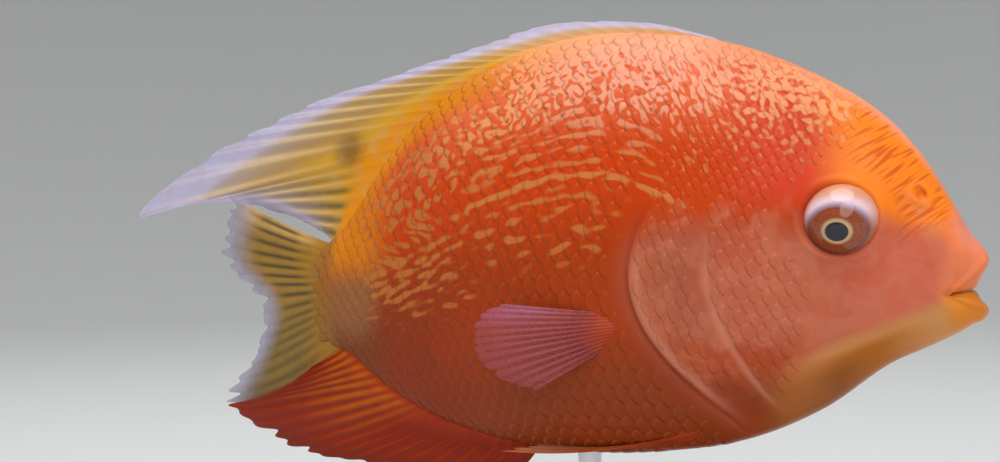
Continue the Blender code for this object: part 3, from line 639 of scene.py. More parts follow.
def fish_skin(name):
    """The wet marked skin: the broad tone, with the pale or red marks laid along the scale rows."""
    finish, shader = material(name, 0.4, coat=0.07, specular=0.1)
    tone, mark = (attribute(shader, word, "Color") for word in ("tone", "mark"))
    lie, place, brow = (attribute(shader, word) for word in ("lie", "fish", "brow"))
    along, row, pale = split(lie)
    rim, drag, face = split(attribute(shader, "rim"))
    standing = maths("SUBTRACT", 1.0, drag)

    def grained(upright, dragged, detail):
        """Noise stretched one way where the marks stand, another where they are dragged."""
        upright, dragged = (noise(stretched(lie, scale), 1.0, detail) for scale in (upright, dragged))
        return scaled(dragged, drag, product(upright, standing))

    # the edges of worm-like bands, broken up by a finer noise
    worms = grained((1.4, 1.1, 0.0), (0.38, 0.95, 0.0), 0.3)
    bands = maths("COSINE", product(worms, FULL_TURN * WORM_BANDS))
    broken = grained((2.1, 1.8, 0.0), (0.8, 1.9, 0.0), 0.5)
    waves = product(bands, scaled(drag, -0.1, 0.31))
    field = maths("ADD", waves, scaled(broken, 1.5, -0.75))
    # the marks keep to the scales' rows and middles a little
    turn_rows = product(row, math.pi)
    banks = maths("COSINE", product(turn_rows, 2.0))
    steps = scaled(along, FULL_TURN, -FULL_TURN * SCALE_MIDDLE)
    lattice = product(maths("COSINE", steps), maths("COSINE", turn_rows))
    banked = product(banks, product(drag, 0.22))
    spotted = product(lattice, product(standing, -0.1))
    field = maths("ADD", field, maths("ADD", banked, spotted))
    level = scaled(pale, 0.9, -0.46)
    shown = product(between(maths("ADD", field, level), -0.19, 0.19), between(pale, 0.02, 0.16))
    strength = scaled(between(pale, 0.25, 0.6), 0.25, 0.7)
    colour = mixed(product(shown, strength), tone, mark)
    # darker drifts, the cheek's mottling, the forehead's furrows and the scales' pale rims
    drift = noise(place, 60.0, detail=3.0)
    colour = mixed(product(between(drift, 0.45, 0.75), 0.25), colour, MARK_RED)
    mottled = product(between(noise(place, 210.0, distortion=0.6), 0.42, 0.68), face)
    colour = mixed(product(mottled, 0.4), colour, FACE_PINK)
    warm = product(between(drift, 0.5, 0.3), face)
    colour = mixed(product(warm, 0.35), colour, FACE_ORANGE)
    streaks = noise(stretched(brow, (1.0, 1.0, 0.0)), 1.0, detail=0.5, distortion=0.2)
    furrow = product(between(streaks, 0.47, 0.66), split(brow)[2])
    colour = mixed(product(furrow, 0.6), colour, BROW_STREAK)
    put(shader, "Base Color", mixed(product(rim, 0.12), colour, mark))
    bumped(shader, scaled(noise(place, 1400.0), 0.4, product(furrow, -0.8)), 0.4, 0.3 * MM)
    put(shader, "Roughness", scaled(drift, 0.25, 0.22))
    return finish


skin_finish = fish_skin("wet_marked_skin")
skin.data.materials.append(skin_finish)
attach(skin, "root")
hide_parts("head", "gill_cover_right", "gill_cover_left", "trunk", "tail_stalk")


# The scales, thin overlapping plates of horn in rows along the flank, each rooted under the one
# ahead. They are small on the nape and belly, and lie flat; only their rims show.
SCALE_LENGTHS = np.linspace(-0.35, 1.0, 6)
SCALE_ACROSS = np.linspace(-1, 1, 6)
SCALE_HALF_HEIGHT = 0.66
SCALE_RISE = 0.13
SCALE_ROOT = 0.10
SCALE_THICK = 0.10
PATCH = 0.003
NAPE_PITCH, CHEEK_PITCH = 2.2, 2.7
SIDES = ((-1, "right"), (1, "left"))
skin_tree = KDTree(skin_points.shape[0] * skin_points.shape[1])
for number, place in enumerate(skin_points.reshape(-1, 3)):
    skin_tree.insert(Vector(place), number)
skin_tree.balance()


def outward_of(along, climbing):
    """The directions square to two others, one unit long."""
    outward = np.cross(along, climbing)
    return outward / np.maximum(np.linalg.norm(outward, axis=-1, keepdims=True), 1e-9)


def flank_point(behind, sine_at, facing_side, folds):
    """A place on the skin's surface with its outward direction, in the straight fish."""
    def at(back_by, sine_by):
        b = behind + back_by
        s = np.clip(sine_at + sine_by, -1, 1)
        side, height = section(b, s)
        fold = face_relief(b, height) * np.minimum(1, 2 * np.sqrt(np.clip(1 - s * s, 0, 1)))
        side = side + fold * folds
        return triple(b, facing_side * np.clip(side, 0, None), height)
    outward = outward_of(at(0.3, 0) - at(-0.3, 0), at(0, 0.01) - at(0, -0.01))
    return at(0, 0), outward * np.sign(outward[..., 1:2] * facing_side + 1e-9)


def row_arc(behind, row):
    """The distance up the flank of a scale row at a place."""
    rise = curve(ARCH, behind) - ARCH_LEVEL
    level = row * ROW_PITCH
    return level + rise * np.clip(1 + (level - ARCH_ARC) / ARCH_FADE, 0, 1)


def scale_roots(rows, start, end, pitch):
    """Roots of the scales in staggered rows, between the lines start and end."""
    roots = []
    for number, row in enumerate(rows):
        for step in np.arange(start, end, pitch):
            roots.append((step + pitch * 0.5 * (number % 2), row))
    return np.array(roots, float)


def scale_coat(name, roots, pitch, row_share, relief, folds, side_sign, seed):
    """A coat of scales as one mesh, one plate at each root."""
    random = np.random.default_rng(seed)
    count = len(roots)
    size = (1 + 0.06 * random.standard_normal(count))[:, None, None]
    a, b = np.meshgrid(SCALE_LENGTHS, SCALE_ACROSS, indexing="ij")
    reach = a * (1 - 0.42 * np.clip(a, 0, 1) * b * b)
    behind = roots[:, 0, None, None] + reach * pitch * size
    tilt = (0.15 * random.standard_normal(count))[:, None, None]
    row = roots[:, 1, None, None] + b * SCALE_HALF_HEIGHT * row_share * size + tilt * 0.12 * a
    sine_at = table_at(arc_sine, ARC_LEVELS, behind, row_arc(behind, row))
    base, outward = flank_point(behind, sine_at, side_sign, folds)
    free = np.clip((a - SCALE_LENGTHS[0]) / (1 - SCALE_LENGTHS[0]), 0, 1)
    lift = -SCALE_ROOT + (SCALE_RISE + SCALE_ROOT) * free ** 0.8 - 0.10 * b * b
    fading = relief * (0.35 + 0.65 * ease(24, 38, roots[:, 0]))
    lift = lift * ((1 + 0.12 * random.standard_normal(count)) * fading)[:, None, None]
    top = base + outward * lift[..., None]
    under = base + outward * (lift - SCALE_THICK)[..., None]
    # each plate is a grid above, its border again below, walls between them and a floor of strips
    long, wide = a.shape
    border = [(0, k) for k in range(wide)] + [(k, wide - 1) for k in range(1, long)]
    border += [(long - 1, k) for k in range(wide - 2, -1, -1)] + [(k, 0) for k in range(long - 2, 0, -1)]
    border_i, border_j = np.array(border).T
    points = np.concatenate((top.reshape(count, -1, 3), under[:, border_i, border_j]), axis=1)
    quads = []
    for i in range(long - 1):
        for j in range(i * wide, (i + 1) * wide - 1):
            quads.append((j, j + wide, j + wide + 1, j + 1))
    rim_at = [i * wide + j for i, j in border]
    low_at = [long * wide + k for k in range(len(border))]
    for k in range(len(border)):
        n = (k + 1) % len(border)
        quads.append((rim_at[k], rim_at[n], low_at[n], low_at[k]))
    for k in range(len(border) // 2 - 1):
        quads.append((low_at[k], low_at[k + 1], low_at[-k - 2], low_at[-k - 1]))
    faces = (np.array(quads) + points.shape[1] * np.arange(count)[:, None, None]).reshape(-1, 4)
    mesh = bpy.data.meshes.new(name)
    flat = points.reshape(-1, 3)
    mesh.from_pydata(in_row(flat), [], faces.tolist())
    coat = bpy.data.objects.new(name, mesh)
    bpy.context.collection.objects.link(coat)
    give(mesh, "fish", flat * MM)
    rim = np.clip(np.maximum(np.abs(b) ** 3, ease(0.72, 1, free)), 0, 1) * ease(0.2, 0.5, free)
    mark_piece(coat, flat, np.tile(np.concatenate((rim.ravel(), rim[border_i, border_j])), count))
    # each scale is a small patch of the map at its root's place on an unwrap of the skin
    nearest = np.array([skin_tree.find(Vector(place))[1] for place in base.reshape(count, -1, 3)[:, 2]])
    rings, ring = skin_points.shape[:2]
    root_at = np.stack((nearest // ring / (rings - 1), nearest % ring / (ring - 1)), axis=1)
    local = np.stack((a, b), axis=-1)
    local = np.concatenate((local.reshape(-1, 2), local[border_i, border_j]))
    patch = root_at[:, None] + local * PATCH / 2
    corner = np.array([loop.vertex_index for loop in mesh.loops])
    mesh.uv_layers.new(name="OFBake").data.foreach_set("uv", patch.reshape(-1, 2)[corner].ravel())
    close_up(coat, merged=False)
    coat.data.materials.append(skin_finish)
    return coat


def on_body(roots, region):
    """Keeps the roots that lie on one region of the body: the flank, the nape or the cheek."""
    behind, row = roots[:, 0], roots[:, 1]
    arc = row_arc(behind, row)
    sine_at = table_at(arc_sine, ARC_LEVELS, behind, arc)
    side, height = section(behind, sine_at)
    columns = np.arange(len(GIRTH_SINE))
    low, high = (table_at(girth_arc, columns, behind, 0 * behind + k) for k in (0, columns[-1] - 0.1))
    margin = 1.0 + 1.6 * ease(138, 149, behind)
    inside = (arc < high - margin) & (arc > low + 0.2 + margin)
    past = past_gill(behind, height)
    clear = from_eye(behind, height) > 10.5
    if region == "nape":
        return roots[inside & (past < 0.3) & (height > 17) & clear & (height > 46 - 0.9 * behind)]
    if region == "cheek":
        bare_line = np.abs(behind - cheek_edge(height)) < 1.7
        level = (height < 17) & (height > -15 - 0.1 * behind) & (behind > 27 + 0.25 * np.abs(height))
        return roots[inside & (past < -3.0) & level & clear & ~bare_line]
    return roots[inside & (past > 3.0)]


flank = on_body(scale_roots(range(-14, 22), FLANK_START, 150, SCALE_PITCH), "flank")
nape = on_body(scale_roots(np.arange(-8, 26, 0.68), 14, 62, NAPE_PITCH), "nape")
cheek = on_body(scale_roots(np.arange(-12, 6, 0.92), 24, 62, CHEEK_PITCH), "cheek")
# each coat's roots, pitch, share of the rows' height, relief, hold on the face's folds, and seed
COATS = (
    ("scales_", flank, SCALE_PITCH, 1.0, 1.0, 0.0, 5),
    ("nape_scales_", nape, NAPE_PITCH, 0.72, 0.75, 1.0, 15),
    ("cheek_scales_", cheek, CHEEK_PITCH, 0.95, 0.42, 1.0, 25),
)
for side_sign, side_name in SIDES:
    for kind, roots, pitch, row_share, relief, folds, seed in COATS:
        coat = scale_coat(
            kind + side_name, roots, pitch, row_share, relief, folds, side_sign, seed + side_sign
        )
        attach(coat, "root")


# The fins, clear skin stretched over bony rays, thick and scaly at the root. Spines stand at the
# front of the dorsal and anal fins; the soft rays behind them branch and trail.
ROOT_SUNK = 1.2
COLUMNS = 8
DORSAL_START, DORSAL_END = 44.0, 148.6
ANAL_START, ANAL_END = 89.0, 146.4
TAIL_START, TAIL_BOW_START = 148.5, 150.3
DORSAL_ENDS = [
    (0, 49, 51.6), (3, 62, 56.2), (7, 84, 59.2), (11, 106, 56.6), (15, 133, 52.8), (17, 158, 49.6),
    (19, 184, 44.4), (20, 199, 41.4), (21, 224, 35.4), (22, 258, 25.4), (23, 230, 27.2), (25, 196, 26.4),
    (26.5, 172, 21.4), (28, 159, 16.6),
]
ANAL_ENDS = [
    (0, 93, -37.6), (3, 108, -40.6), (5, 122, -41.4), (8, 146, -41.2), (10, 160, -40.5),
    (12, 173, -37.6), (14, 183.5, -32.2), (15, 188.5, -29.8), (16, 180, -28.2), (18, 164, -23.4),
    (20, 154, -18.2),
]
CAUDAL_ENDS = [
    (0, 193, 28.6), (2, 194.6, 21), (4, 196, 12.4), (5.4, 190, 6.6), (7, 181, 1.2), (9, 177.4, -7.4),
    (11, 181, -15.4), (13, 188, -22.4), (15, 196.4, -29.8), (16, 192, -31),
]
PECTORAL_ENDS = [
    (0, 89.0, -2.2), (2, 93.4, -4.6), (4, 94.6, -8.2), (7, 93.6, -13.2), (9, 90.5, -17), (12, 82.5, -20),
]


def end_of(ends, number):
    """How far behind and how high a fin's edge is at a ray."""
    return curve(ends, number, 1), curve(ends, number, 2)


def fin_piece(
    name, rays, ray_line, colours, rows, root_thick, sheath, scallop, seed,
    clear, branch=0.45, width=0.16, solid_front=0.0, fringe=0.0,
):
    """A fin sheet with rays raised on both faces, closed round its edge, from its rays' three points."""
    random = np.random.default_rng(seed)
    number = np.linspace(0, rays, rays * COLUMNS + 1)
    start, bow, tip = ray_line(number)
    phase = number - np.rint(number)
    nicked = zip(np.linspace(0, rays, rays * 2 + 1), random.random(rays * 2 + 1))
    nicks = curve(list(nicked), number)
    gap = scallop * (0.3 + 1.1 * nicks)
    reach = 1 - gap * (1 - np.cos(FULL_TURN * phase)) / 2 - 0.7 * scallop * nicks
    t = np.linspace(-0.04, 1, rows + 1)[None, :, None] * np.ones((len(number), 1, 1))
    t = np.where(t > 0, t * reach[:, None, None], t)
    sheet = start[:, None] * (1 - t) ** 2 + bow[:, None] * 2 * t * (1 - t) + tip[:, None] * t * t
    outward = outward_of(*np.gradient(sheet, axis=(0, 1)))
    share = np.clip(t[..., 0], 0, 1)
    fork = branch * ease(0.3, 1, share) * 0.34
    off = np.abs(np.abs(phase[:, None]) - fork)
    ridge = np.exp(-((off / (width * (1 - 0.4 * branch * ease(0.3, 1, share)))) ** 2))
    front = (solid_front * fade(8, 17, number))[:, None]
    ridge = ridge * (1 - 0.75 * front)
    joints = 0.93 + 0.07 * np.cos(share * rows * 2.1)
    thick = 0.16 + (0.75 * (1 - 0.7 * share) + 0.1) * ridge * joints
    root = root_thick(number) if callable(root_thick) else root_thick + 0 * number
    root = root[:, None] * fade(0, sheath, share)
    thick = np.maximum(thick, root + thick * 0.35 * (root > 0.01))
    ends = np.minimum(ease(0, 1.2, number), ease(0, 1.2, rays - number))[:, None]
    thick = np.maximum(thick * (0.35 + 0.65 * ends), 0.12) * (1 - 0.5 * ease(0.9, 1, share))
    half = outward * thick[..., None] / 2
    near, far = sheet + half, sheet - half
    loop = np.concatenate((near, far[::-1], near[:1])).transpose(1, 0, 2)
    closing = np.concatenate((sheet, sheet[::-1], sheet[:1])).transpose(1, 0, 2)
    points = np.concatenate((closing[:1], loop, closing[-1:]))
    piece, i, j = moulded(name, points)

    def carried(values):
        """A value of the sheet at each vertex, round both faces and the closing edge."""
        values = np.broadcast_to(values, share.shape)
        ring = np.concatenate((values, values[::-1], values[:1])).T
        return np.concatenate((ring[:1], ring, ring[-1:]))[i, j]

    out = carried(share)
    tone = np.clip(colours(out, carried(number[:, None]), points[i, j]), 0, 1)
    give(piece.data, "tone", tone, "FLOAT_COLOR")
    # the rays, the sheath and the spiny front are solid; the web between the rays is clear
    web = carried(ridge * (1 - front) + 0.6 * front)
    clear = carried(clear * (1 - front))
    body = carried(fade(sheath * 0.6, sheath * 1.9, share))
    cover = np.clip(np.maximum(web, body) * (1 - clear) + clear * body, 0, 1)
    solid = np.clip(np.maximum(cover, (1 - clear) + 0.5 * web), 0, 1)
    solid = solid * (1 - fringe * ease(0.72, 1, out))
    give(piece.data, "web", triple(web, out, solid))
    close_up(piece)
    return piece


def fin_finish(name, ray_colour, membrane_colour, ray_share):
    """Wet fin skin: the tone of its place, paler on the rays, and clear where the web is thin."""
    finish, shader = material(name, 0.42, coat=0.05, coat_roughness=0.2, specular=0.12)
    tone, place = attribute(shader, "tone", "Color"), attribute(shader, "fish")
    ray, reach, solid = split(attribute(shader, "web"))
    rim = maths("ADD", product(between(reach, 0.55, 0.88), -0.7), 1.0)
    outer = product(product(between(reach, 0.05, 0.5), ray_share), rim)
    colour = mixed(product(ray, outer), tone, ray_colour)
    shade = product(maths("SUBTRACT", 1.0, ray), outer)
    colour = mixed(product(shade, 0.5), colour, membrane_colour)
    drift = between(noise(place, 220.0, detail=3.0), 0.4, 0.8)
    put(shader, "Base Color", mixed(product(drift, 0.3), colour, membrane_colour))
    put(shader, "Alpha", solid)
    bumped(shader, noise(place, 1800.0), 0.08, 0.3 * MM)
    return finish


def middle_ray(root, base, behind, height, drift, soft):
    """The three points of a ray of a fin on the middle line, swept back where it is soft."""
    bow_behind = root + (behind - root) * (0.55 - 0.1 * soft)
    bow_height = base + (height - base) * (0.62 + 0.1 * soft - 0.2 * soft * soft)
    start = triple(root, 0, base)
    return start, triple(bow_behind, drift * 0.4, bow_height), triple(behind, drift, height)


DORSAL_RAYS, ANAL_RAYS, CAUDAL_RAYS, PECTORAL_RAYS, PELVIC_RAYS = 28, 20, 16, 12, 6
LAVENDER = (0.68, 0.63, 0.92)
FIN_ORANGE = (0.78, 0.27, 0.004)
FIN_GREY = (0.57, 0.4, 0.17)
FIN_SLIT = (0.055, 0.042, 0.018)
FIN_GOLD = (0.66, 0.33, 0.01)
TAIL_GOLD = (0.42, 0.2, 0.014)
FIN_OLIVE = (0.17, 0.105, 0.026)
FIN_CREAM = (0.66, 0.38, 0.13)
SPOT_BROWN = (0.19, 0.075, 0.01)
ANAL_ROOT = (0.42, 0.034, 0.001)
ANAL_RED = (0.29, 0.016, 0.0005)
ANAL_STREAK = (0.52, 0.11, 0.001)
ANAL_DUSK = (0.17, 0.018, 0.003)


def slits(number, share, width, start, end):
    """The thin dark gaps of clear web half way between two rays, over a part of their length."""
    middle = 0.5 - np.abs(number - np.rint(number))
    return hump(0, width, middle) * ease(start, start + 0.12, share) * fade(end - 0.2, end, share)


def dorsal_rays(number):
    root = DORSAL_START + (DORSAL_END - DORSAL_START) * (number / DORSAL_RAYS) ** 0.96
    behind, height = end_of(DORSAL_ENDS, number)
    drift = 5.0 * ease(19, 23.5, number)
    return middle_ray(root, station(BACK, root) - ROOT_SUNK, behind, height, drift, ease(13, 23, number))


def dorsal_tone(share, number, straight):
    spiny = fade(10, 17, number)
    edge = ease(0.44 - 0.02 * spiny + 0.14 * ease(11, 17, number), 0.78 - 0.08 * spiny, share)
    trailing = ease(0.35, 0.8, share) * ease(17, 22, number)
    return painted(
        FIN_GOLD,
        (FIN_ORANGE, fade(0.04, 0.2, share)),
        (PEACH, fade(8, 15, number) * fade(0.3, 0.6, share)),
        (FIN_GREY, ease(0.38, 0.68, share) * ease(15, 20, number) * 0.8),
        (FIN_SLIT, slits(number, share, 0.22, 0.06, 0.75) * ease(22, 25, number) * 0.85),
        (FIN_SLIT, slits(number, share, 0.16, 0.3, 0.8) * ease(14, 19, number) * 0.25),
        (LAVENDER, np.clip(edge + trailing * 0.6, 0, 1)),
        (SPOT_BROWN, spot(straight[:, 0], straight[:, 2], (143.5, 36.3), (5.4, 4.4)) * 0.8),
    )


dorsal = fin_piece(
    "dorsal_fin", DORSAL_RAYS, dorsal_rays, dorsal_tone, rows=60, root_thick=2.3, sheath=0.33,
    scallop=0.06, seed=31, clear=0.34, solid_front=0.95, fringe=0.2,
)
dorsal.data.materials.append(fin_finish("gold_fin_skin", (0.9, 0.68, 0.42), (0.52, 0.38, 0.21), 0.55))
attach(dorsal, "root")
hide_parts("fin_dorsal")


def anal_rays(number):
    root = ANAL_START + (ANAL_END - ANAL_START) * (number / ANAL_RAYS) ** 0.95
    behind, height = end_of(ANAL_ENDS, number)
    drift = -4.0 * ease(11, 16, number)
    return middle_ray(root, station(BELLY, root) + ROOT_SUNK, behind, height, drift, ease(6, 15, number))


def anal_tone(share, number, straight):
    streak = 0.5 + 0.5 * np.cos(FULL_TURN * number)
    streak = streak * span(share, 0.0, 0.08, 0.3, 0.75) * ease(9, 13, number)
    return painted(
        ANAL_RED,
        (ANAL_ROOT, fade(0.0, 0.25, share)),
        (ANAL_STREAK, streak),
        (ANAL_DUSK, ease(0.55, 1, share) * fade(11, 15, number) * 0.8),
    )


anal = fin_piece(
    "anal_fin", ANAL_RAYS, anal_rays, anal_tone, rows=50, root_thick=2.1, sheath=0.33,
    scallop=0.05, seed=32, clear=0.08,
)
anal.data.materials.append(fin_finish("red_fin_skin", (0.4, 0.042, 0.001), (0.18, 0.012, 0.001), 0.4))
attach(anal, "root")
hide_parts("fin_anal")


FRINGE_GREY = (0.42, 0.42, 0.56)


def caudal_rays(number):
    height = 12.2 - 24.0 * number / CAUDAL_RAYS
    behind, end_height = end_of(CAUDAL_ENDS, number)
    lowest, under = ease(10, 16, number), ease(13, 16, number)
    start = triple(TAIL_START - 3.6 * under, 0, height - 1.4 * under)
    hung = height + (end_height - height) * (0.36 + 0.46 * lowest)
    bow_behind = TAIL_BOW_START + (behind - TAIL_BOW_START) * (0.4 - 0.14 * lowest)
    bow = triple(bow_behind, 0, hung)
    return start, bow, triple(behind, 0, end_height)


def caudal_root(number):
    full = 0.9 + 3.2 * np.sqrt(np.clip(1 - (number / 8 - 1) ** 2, 0, 1))
    return full * (1 - 0.6 * ease(12.5, 15, number))


def caudal_tone(share, number, straight):
    upper = fade(7, 11, number)
    return painted(
        TAIL_GOLD,
        (FIN_OLIVE, ease(0.1, 0.45, share) * (0.9 - 0.5 * upper)),
        (FIN_CREAM, fade(0.4, 2.2, number) * ease(0.1, 0.3, share)),
        (STALK_BROWN, fade(0.02, 0.25, share) * hump(8, 5, number)),
        (FIN_SLIT, slits(number, share, 0.2, 0.28, 0.8) * upper * 0.9),
        (FRINGE_GREY, ease(0.66, 0.97, share)),
    )


caudal = fin_piece(
    "tail_fin", CAUDAL_RAYS, caudal_rays, caudal_tone, rows=56, root_thick=caudal_root, sheath=0.3,
    scallop=0.08, seed=33, clear=0.2, branch=0.5, width=0.3, fringe=0.5,
)
caudal.data.materials.append(fin_finish("tail_fin_skin", (0.46, 0.3, 0.08), (0.14, 0.09, 0.03), 0.3))
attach(caudal, "root")
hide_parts("fin_caudal")


# The paired fins: clear pinkish pectorals that fan from behind the gill covers, and narrow red
# pelvics folded back under the belly.
pale_fin = fin_finish("pale_fin_skin", (0.47, 0.13, 0.14), (0.34, 0.065, 0.06), 0.3)
red_fin = fin_finish("pelvic_fin_skin", (0.66, 0.16, 0.03), (0.32, 0.035, 0.008), 0.5)


def flank_side(behind, height):
    back, belly, middle = (station(line, behind) for line in (BACK, BELLY, MIDDLE))
    reach = np.where(height > middle, back - middle, middle - belly)
    rise = (height - middle) / reach
    return section(behind, np.clip(rise, -1, 1))[0]


def belly_skin(behind, out):
    """The height of the belly's surface at a distance to the side of the middle."""
    middle, belly = station(MIDDLE, behind), station(BELLY, behind)
    inset = np.clip(out / station(HALF_WIDTH, behind), 0, 1) ** (2 / curve(BELLY_SHARPNESS, behind))
    return middle - (middle - belly) * np.sqrt(1 - inset)


PECTORAL_ROOT = (0.43, 0.055, 0.016)
PECTORAL_PINK = (0.42, 0.09, 0.1)
PECTORAL_LILAC = (0.52, 0.19, 0.36)
PELVIC_RED = (0.36, 0.04, 0.006)
PELVIC_TIP = (0.52, 0.16, 0.07)


def pectoral_tone(share, number, straight):
    lilac = fade(0.5, 4, number) * ease(0.3, 0.8, share) * 0.7
    return painted(PECTORAL_ROOT, (PECTORAL_PINK, ease(0.05, 0.4, share)), (PECTORAL_LILAC, lilac))


def pelvic_tone(share, number, straight):
    return painted(PELVIC_RED, (PELVIC_TIP, ease(0.5, 1, share)))


for side_sign, side_name in SIDES:
    def pectoral_rays(number):
        share = number / PECTORAL_RAYS
        behind = 67.5 + share
        height = -7.6 + 6.0 * (0.5 - share)
        flank_out = flank_side(behind, height) + SKIN_DEPTH + 1.1
        end_behind, end_height = end_of(PECTORAL_ENDS, number)
        out = flank_out + (end_behind - behind) * 0.16 + 1.5 * np.sin(math.pi * share)
        sunk = 1.7 + 1.5 * (2 * share - 1) ** 2
        start = triple(behind - 1.0, side_sign * (flank_out - sunk), height)
        tip = triple(end_behind, side_sign * out, end_height)
        return start, start * 0.5 + tip * 0.5 + np.array((0, side_sign * 1.2, 0)), tip

    def pelvic_rays(number):
        share = number / PELVIC_RAYS
        behind = 53 + 1.6 * share
        out = 6.4 - 2.0 * share
        reach = 44 - 17 * share ** 0.8
        bow_behind = behind + reach * 0.45
        under_bow = belly_skin(bow_behind, out) - 1.0
        under_tip = belly_skin(behind + reach, out) - 1.0
        start = triple(behind, side_sign * out, belly_skin(behind, out) + 0.7)
        bow = triple(bow_behind, side_sign * out, -34.9 + (under_bow + 34.9) * share)
        return start, bow, triple(behind + reach, side_sign * out, -34.4 + (under_tip + 34.4) * share)

    pectoral = fin_piece(
        "pectoral_fin_" + side_name, PECTORAL_RAYS, pectoral_rays, pectoral_tone, rows=40, root_thick=1.0,
        sheath=0.2, scallop=0.03, seed=40 + side_sign, clear=0.8, branch=0.4, width=0.3, fringe=0.4,
    )
    pectoral.data.materials.append(pale_fin)
    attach(pectoral, "root")
    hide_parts("fin_pectoral_" + side_name)
    pelvic = fin_piece(
        "pelvic_fin_" + side_name, PELVIC_RAYS, pelvic_rays, pelvic_tone, rows=40, root_thick=1.0,
        sheath=0.2, scallop=0.04, seed=50 + side_sign, clear=0.3, branch=0.6,
    )
    pelvic.data.materials.append(red_fin)
    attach(pelvic, "root")
    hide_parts("fin_pelvic_" + side_name)


# The eyes, flattened clear balls that look a little down. A dark blue-grey pupil sits in a thin gold
# ring, a broad orange-brown iris and a pale outer ring under a wet cornea.
EYE_RADIUS = 6.9
EYE_FLATNESS = 0.81
GAZE_DOWN = math.radians(20)
PUPIL = 1.75
PUPIL_RING = 2.25
IRIS = 4.3
RIM_START, RIM_END = 5.2, 6.5
CORNEA_EDGE = 4.9
PUPIL_BLUE = (0.01, 0.009, 0.022)
RING_GOLD = (0.56, 0.36, 0.18)
IRIS_BROWN, IRIS_ORANGE = (0.24, 0.04, 0.012), (0.38, 0.088, 0.024)
# painted shade round the iris, darker below and lilac-grey above
IRIS_SHADE_LOW, IRIS_SHADE_HIGH = (0.16, 0.06, 0.06), (0.4, 0.3, 0.42)
OUTER_LOW, OUTER_HIGH = (0.5, 0.16, 0.075), (0.86, 0.62, 0.66)
RIM_ORANGE = (0.72, 0.3, 0.17)


def eye_finish():
    """Rings of colour round the eye's pole, fine-fibred iris, painted shade round it, paler upper half.
    """
    finish, shader = material("wet_eye", 0.3, coat=1.0, coat_roughness=0.03, specular=0.0)
    out, high, swirl = split(attribute(shader, "ring"))
    streak = new_node("ShaderNodeCombineXYZ", {0: product(swirl, 9.0), 1: product(out, 0.8)}).outputs[0]
    fibres = noise(streak, 3.0, detail=4.0)
    iris = mixed(between(fibres, 0.35, 0.7), IRIS_BROWN, IRIS_ORANGE)
    outer = mixed(between(high, -2.5, 2.6), OUTER_LOW, OUTER_HIGH)
    # painted shade: a darker ring round the iris, lilac-grey above and dark brown below
    lilac = mixed(between(high, -2.0, 2.0), IRIS_SHADE_LOW, IRIS_SHADE_HIGH)
    outer = mixed(between(out, IRIS + 1.0, IRIS + 0.2), outer, lilac)
    colour = mixed(between(out, IRIS - 0.35, IRIS + 0.45), iris, outer)
    colour = mixed(between(out, RIM_START, RIM_END), colour, RIM_ORANGE)
    colour = mixed(between(out, PUPIL_RING - 0.2, PUPIL_RING + 0.35), RING_GOLD, colour)
    colour = mixed(between(out, PUPIL - 0.12, PUPIL + 0.12), PUPIL_BLUE, colour)
    put(shader, "Base Color", colour)
    return finish


wet_eye = eye_finish()
for side_sign, side_name in SIDES:
    bpy.ops.object.select_all(action="DESELECT")
    bpy.ops.mesh.primitive_uv_sphere_add(segments=96, ring_count=64, radius=1)
    eye = bpy.context.object
    eye.name = "eyeball_" + side_name
    unit = corners(eye.data)
    # the ball's pole is turned to look out and down, and the cornea swells a little over the iris
    out, swirl = np.hypot(unit[:, 0], unit[:, 1]) * EYE_RADIUS, np.arctan2(unit[:, 1], unit[:, 0])
    swell = 1 + 0.05 * fade(0, CORNEA_EDGE, out) * (unit[:, 2] > 0)
    look = unit * swell[:, None]
    pole = look[:, 2] * math.cos(GAZE_DOWN) + look[:, 1] * math.sin(GAZE_DOWN)
    lift = look[:, 1] * math.cos(GAZE_DOWN) - look[:, 2] * math.sin(GAZE_DOWN)
    ball = triple(look[:, 0], side_sign * pole * EYE_FLATNESS, lift) * EYE_RADIUS
    straight = ball + np.array((EYE_BEHIND, side_sign * EYE_SIDE, EYE_HEIGHT))
    eye.data.vertices.foreach_set("co", in_row(straight).ravel())
    out = np.where(unit[:, 2] > 0, np.hypot(unit[:, 0] * 0.88, unit[:, 1]) * EYE_RADIUS, EYE_RADIUS)
    give(eye.data, "ring", triple(out, ball[:, 2], swirl))
    close_up(eye)
    eye.data.materials.append(wet_eye)
    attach(eye, "root")
    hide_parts("eye_" + side_name)


# The stand: a satin-finished dark wood base with its grain along its length, and a brushed steel rod
# that holds the fish from below.
WOOD_DARK, WOOD_LIGHT = (0.035, 0.018, 0.01), (0.12, 0.06, 0.03)
STEEL_DARK, STEEL_LIGHT = (0.5, 0.51, 0.52), (0.72, 0.73, 0.74)


def grained_place(shader, scale):
    """The object's own coordinates, stretched along its grain."""
    return stretched(shader.id_data.nodes.new("ShaderNodeTexCoord").outputs["Object"], scale)


wood, shader = material("dark_wood", 0.42, coat=0.15, coat_roughness=0.3)
grain = noise(grained_place(shader, (12.0, 160.0, 160.0)), 3.0, detail=5.0, distortion=0.6)
put(shader, "Base Color", mixed(between(grain, 0.35, 0.7), WOOD_DARK, WOOD_LIGHT))
bumped(shader, grain, 0.15, 0.5 * MM)
steel, shader = material("brushed_steel", 0.32, metallic=1.0)
brush = noise(grained_place(shader, (900.0, 900.0, 60.0)), 1.0, detail=3.0)
put(shader, "Base Color", mixed(brush, STEEL_DARK, STEEL_LIGHT))
put(shader, "Roughness", scaled(brush, 0.25, 0.2))
for node_name, finish in (("stand_base", wood), ("stand_rod", steel)):
    stand_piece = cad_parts[node_name]
    stand_piece.data.materials.clear()
    stand_piece.data.materials.append(finish)


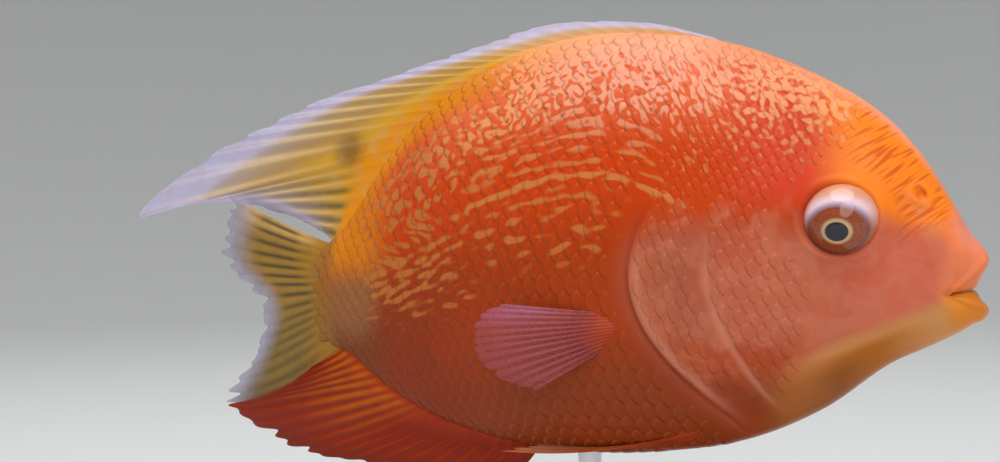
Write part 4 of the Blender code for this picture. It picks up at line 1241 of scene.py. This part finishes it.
# The floor under the stand: one wide sheet of plain pale card, level round the fish and curved up
# far from it on every side.
FLOOR_COLOUR = (0.78, 0.79, 0.8)
FLOOR_RADIUS = 2.6
FLOOR_CURVE = 1.3
FLOOR_WALL = 2.2
FLAT_SHARE, WALL_SHARE = 0.4, 0.8
bpy.ops.object.select_all(action="DESELECT")
bpy.ops.mesh.primitive_uv_sphere_add(segments=96, ring_count=96, radius=1)
floor = bpy.context.object
floor.name = "floor"
sheet = bmesh.new()
sheet.from_mesh(floor.data)
bmesh.ops.delete(sheet, geom=[v for v in sheet.verts if v.co.z > 0.001], context="VERTS")
for vert in sheet.verts:
    level = math.acos(max(-1.0, min(1.0, -vert.co.z))) / (math.pi / 2)
    direction = Vector((vert.co.x, vert.co.y, 0)).normalized()
    angle = math.pi / 2 * min(1.0, max(0.0, (level - FLAT_SHARE) / (WALL_SHARE - FLAT_SHARE)))
    radius = FLOOR_RADIUS * min(1.0, level / FLAT_SHARE) + FLOOR_CURVE * math.sin(angle)
    height = FLOOR_CURVE * (1 - math.cos(angle))
    height += FLOOR_WALL * max(0.0, level - WALL_SHARE) / (1 - WALL_SHARE)
    vert.co = direction * radius + Vector((0, 0, height))
bmesh.ops.reverse_faces(sheet, faces=sheet.faces)
sheet.to_mesh(floor.data)
sheet.free()
floor.data.shade_smooth()
floor_finish, shader = material("pale_floor", 0.85)
put(shader, "Base Color", FLOOR_COLOUR)
floor.data.materials.append(floor_finish)

# Soft studio light: a broad round panel overhead that lights the back, a smaller and fainter one by
# the camera for the flank, and an even pale sky.
LIGHT_AIM = Vector((0, 0, 0.1))
SKY_COLOUR, SKY_STRENGTH = (1.0, 0.98, 0.95), 0.36
for name, place, size, power in (
    ("overhead_light", (0.1, -0.35, 1.25), 1.1, 9.5),
    ("front_light", (0.45, -1.15, 0.75), 0.8, 4.5),
):
    bpy.ops.object.light_add(type="AREA", location=place)
    lamp = bpy.context.object
    lamp.name = name
    lamp.data.shape = "DISK"
    lamp.data.size = size
    lamp.data.energy = power
    lamp.rotation_euler = (LIGHT_AIM - Vector(place)).to_track_quat("-Z", "Y").to_euler()
world = bpy.data.worlds.new("pale_sky")
bpy.context.scene.world = world
world.use_nodes = True
put(world.node_tree.nodes["Background"], "Color", SKY_COLOUR)
put(world.node_tree.nodes["Background"], "Strength", SKY_STRENGTH)
bpy.ops.object.light_add(type="SUN", location=(0, 0, 1))
sun = bpy.context.object
sun.name = "sky_light"
sun.data.energy = 0.55
sun.data.angle = math.radians(50)
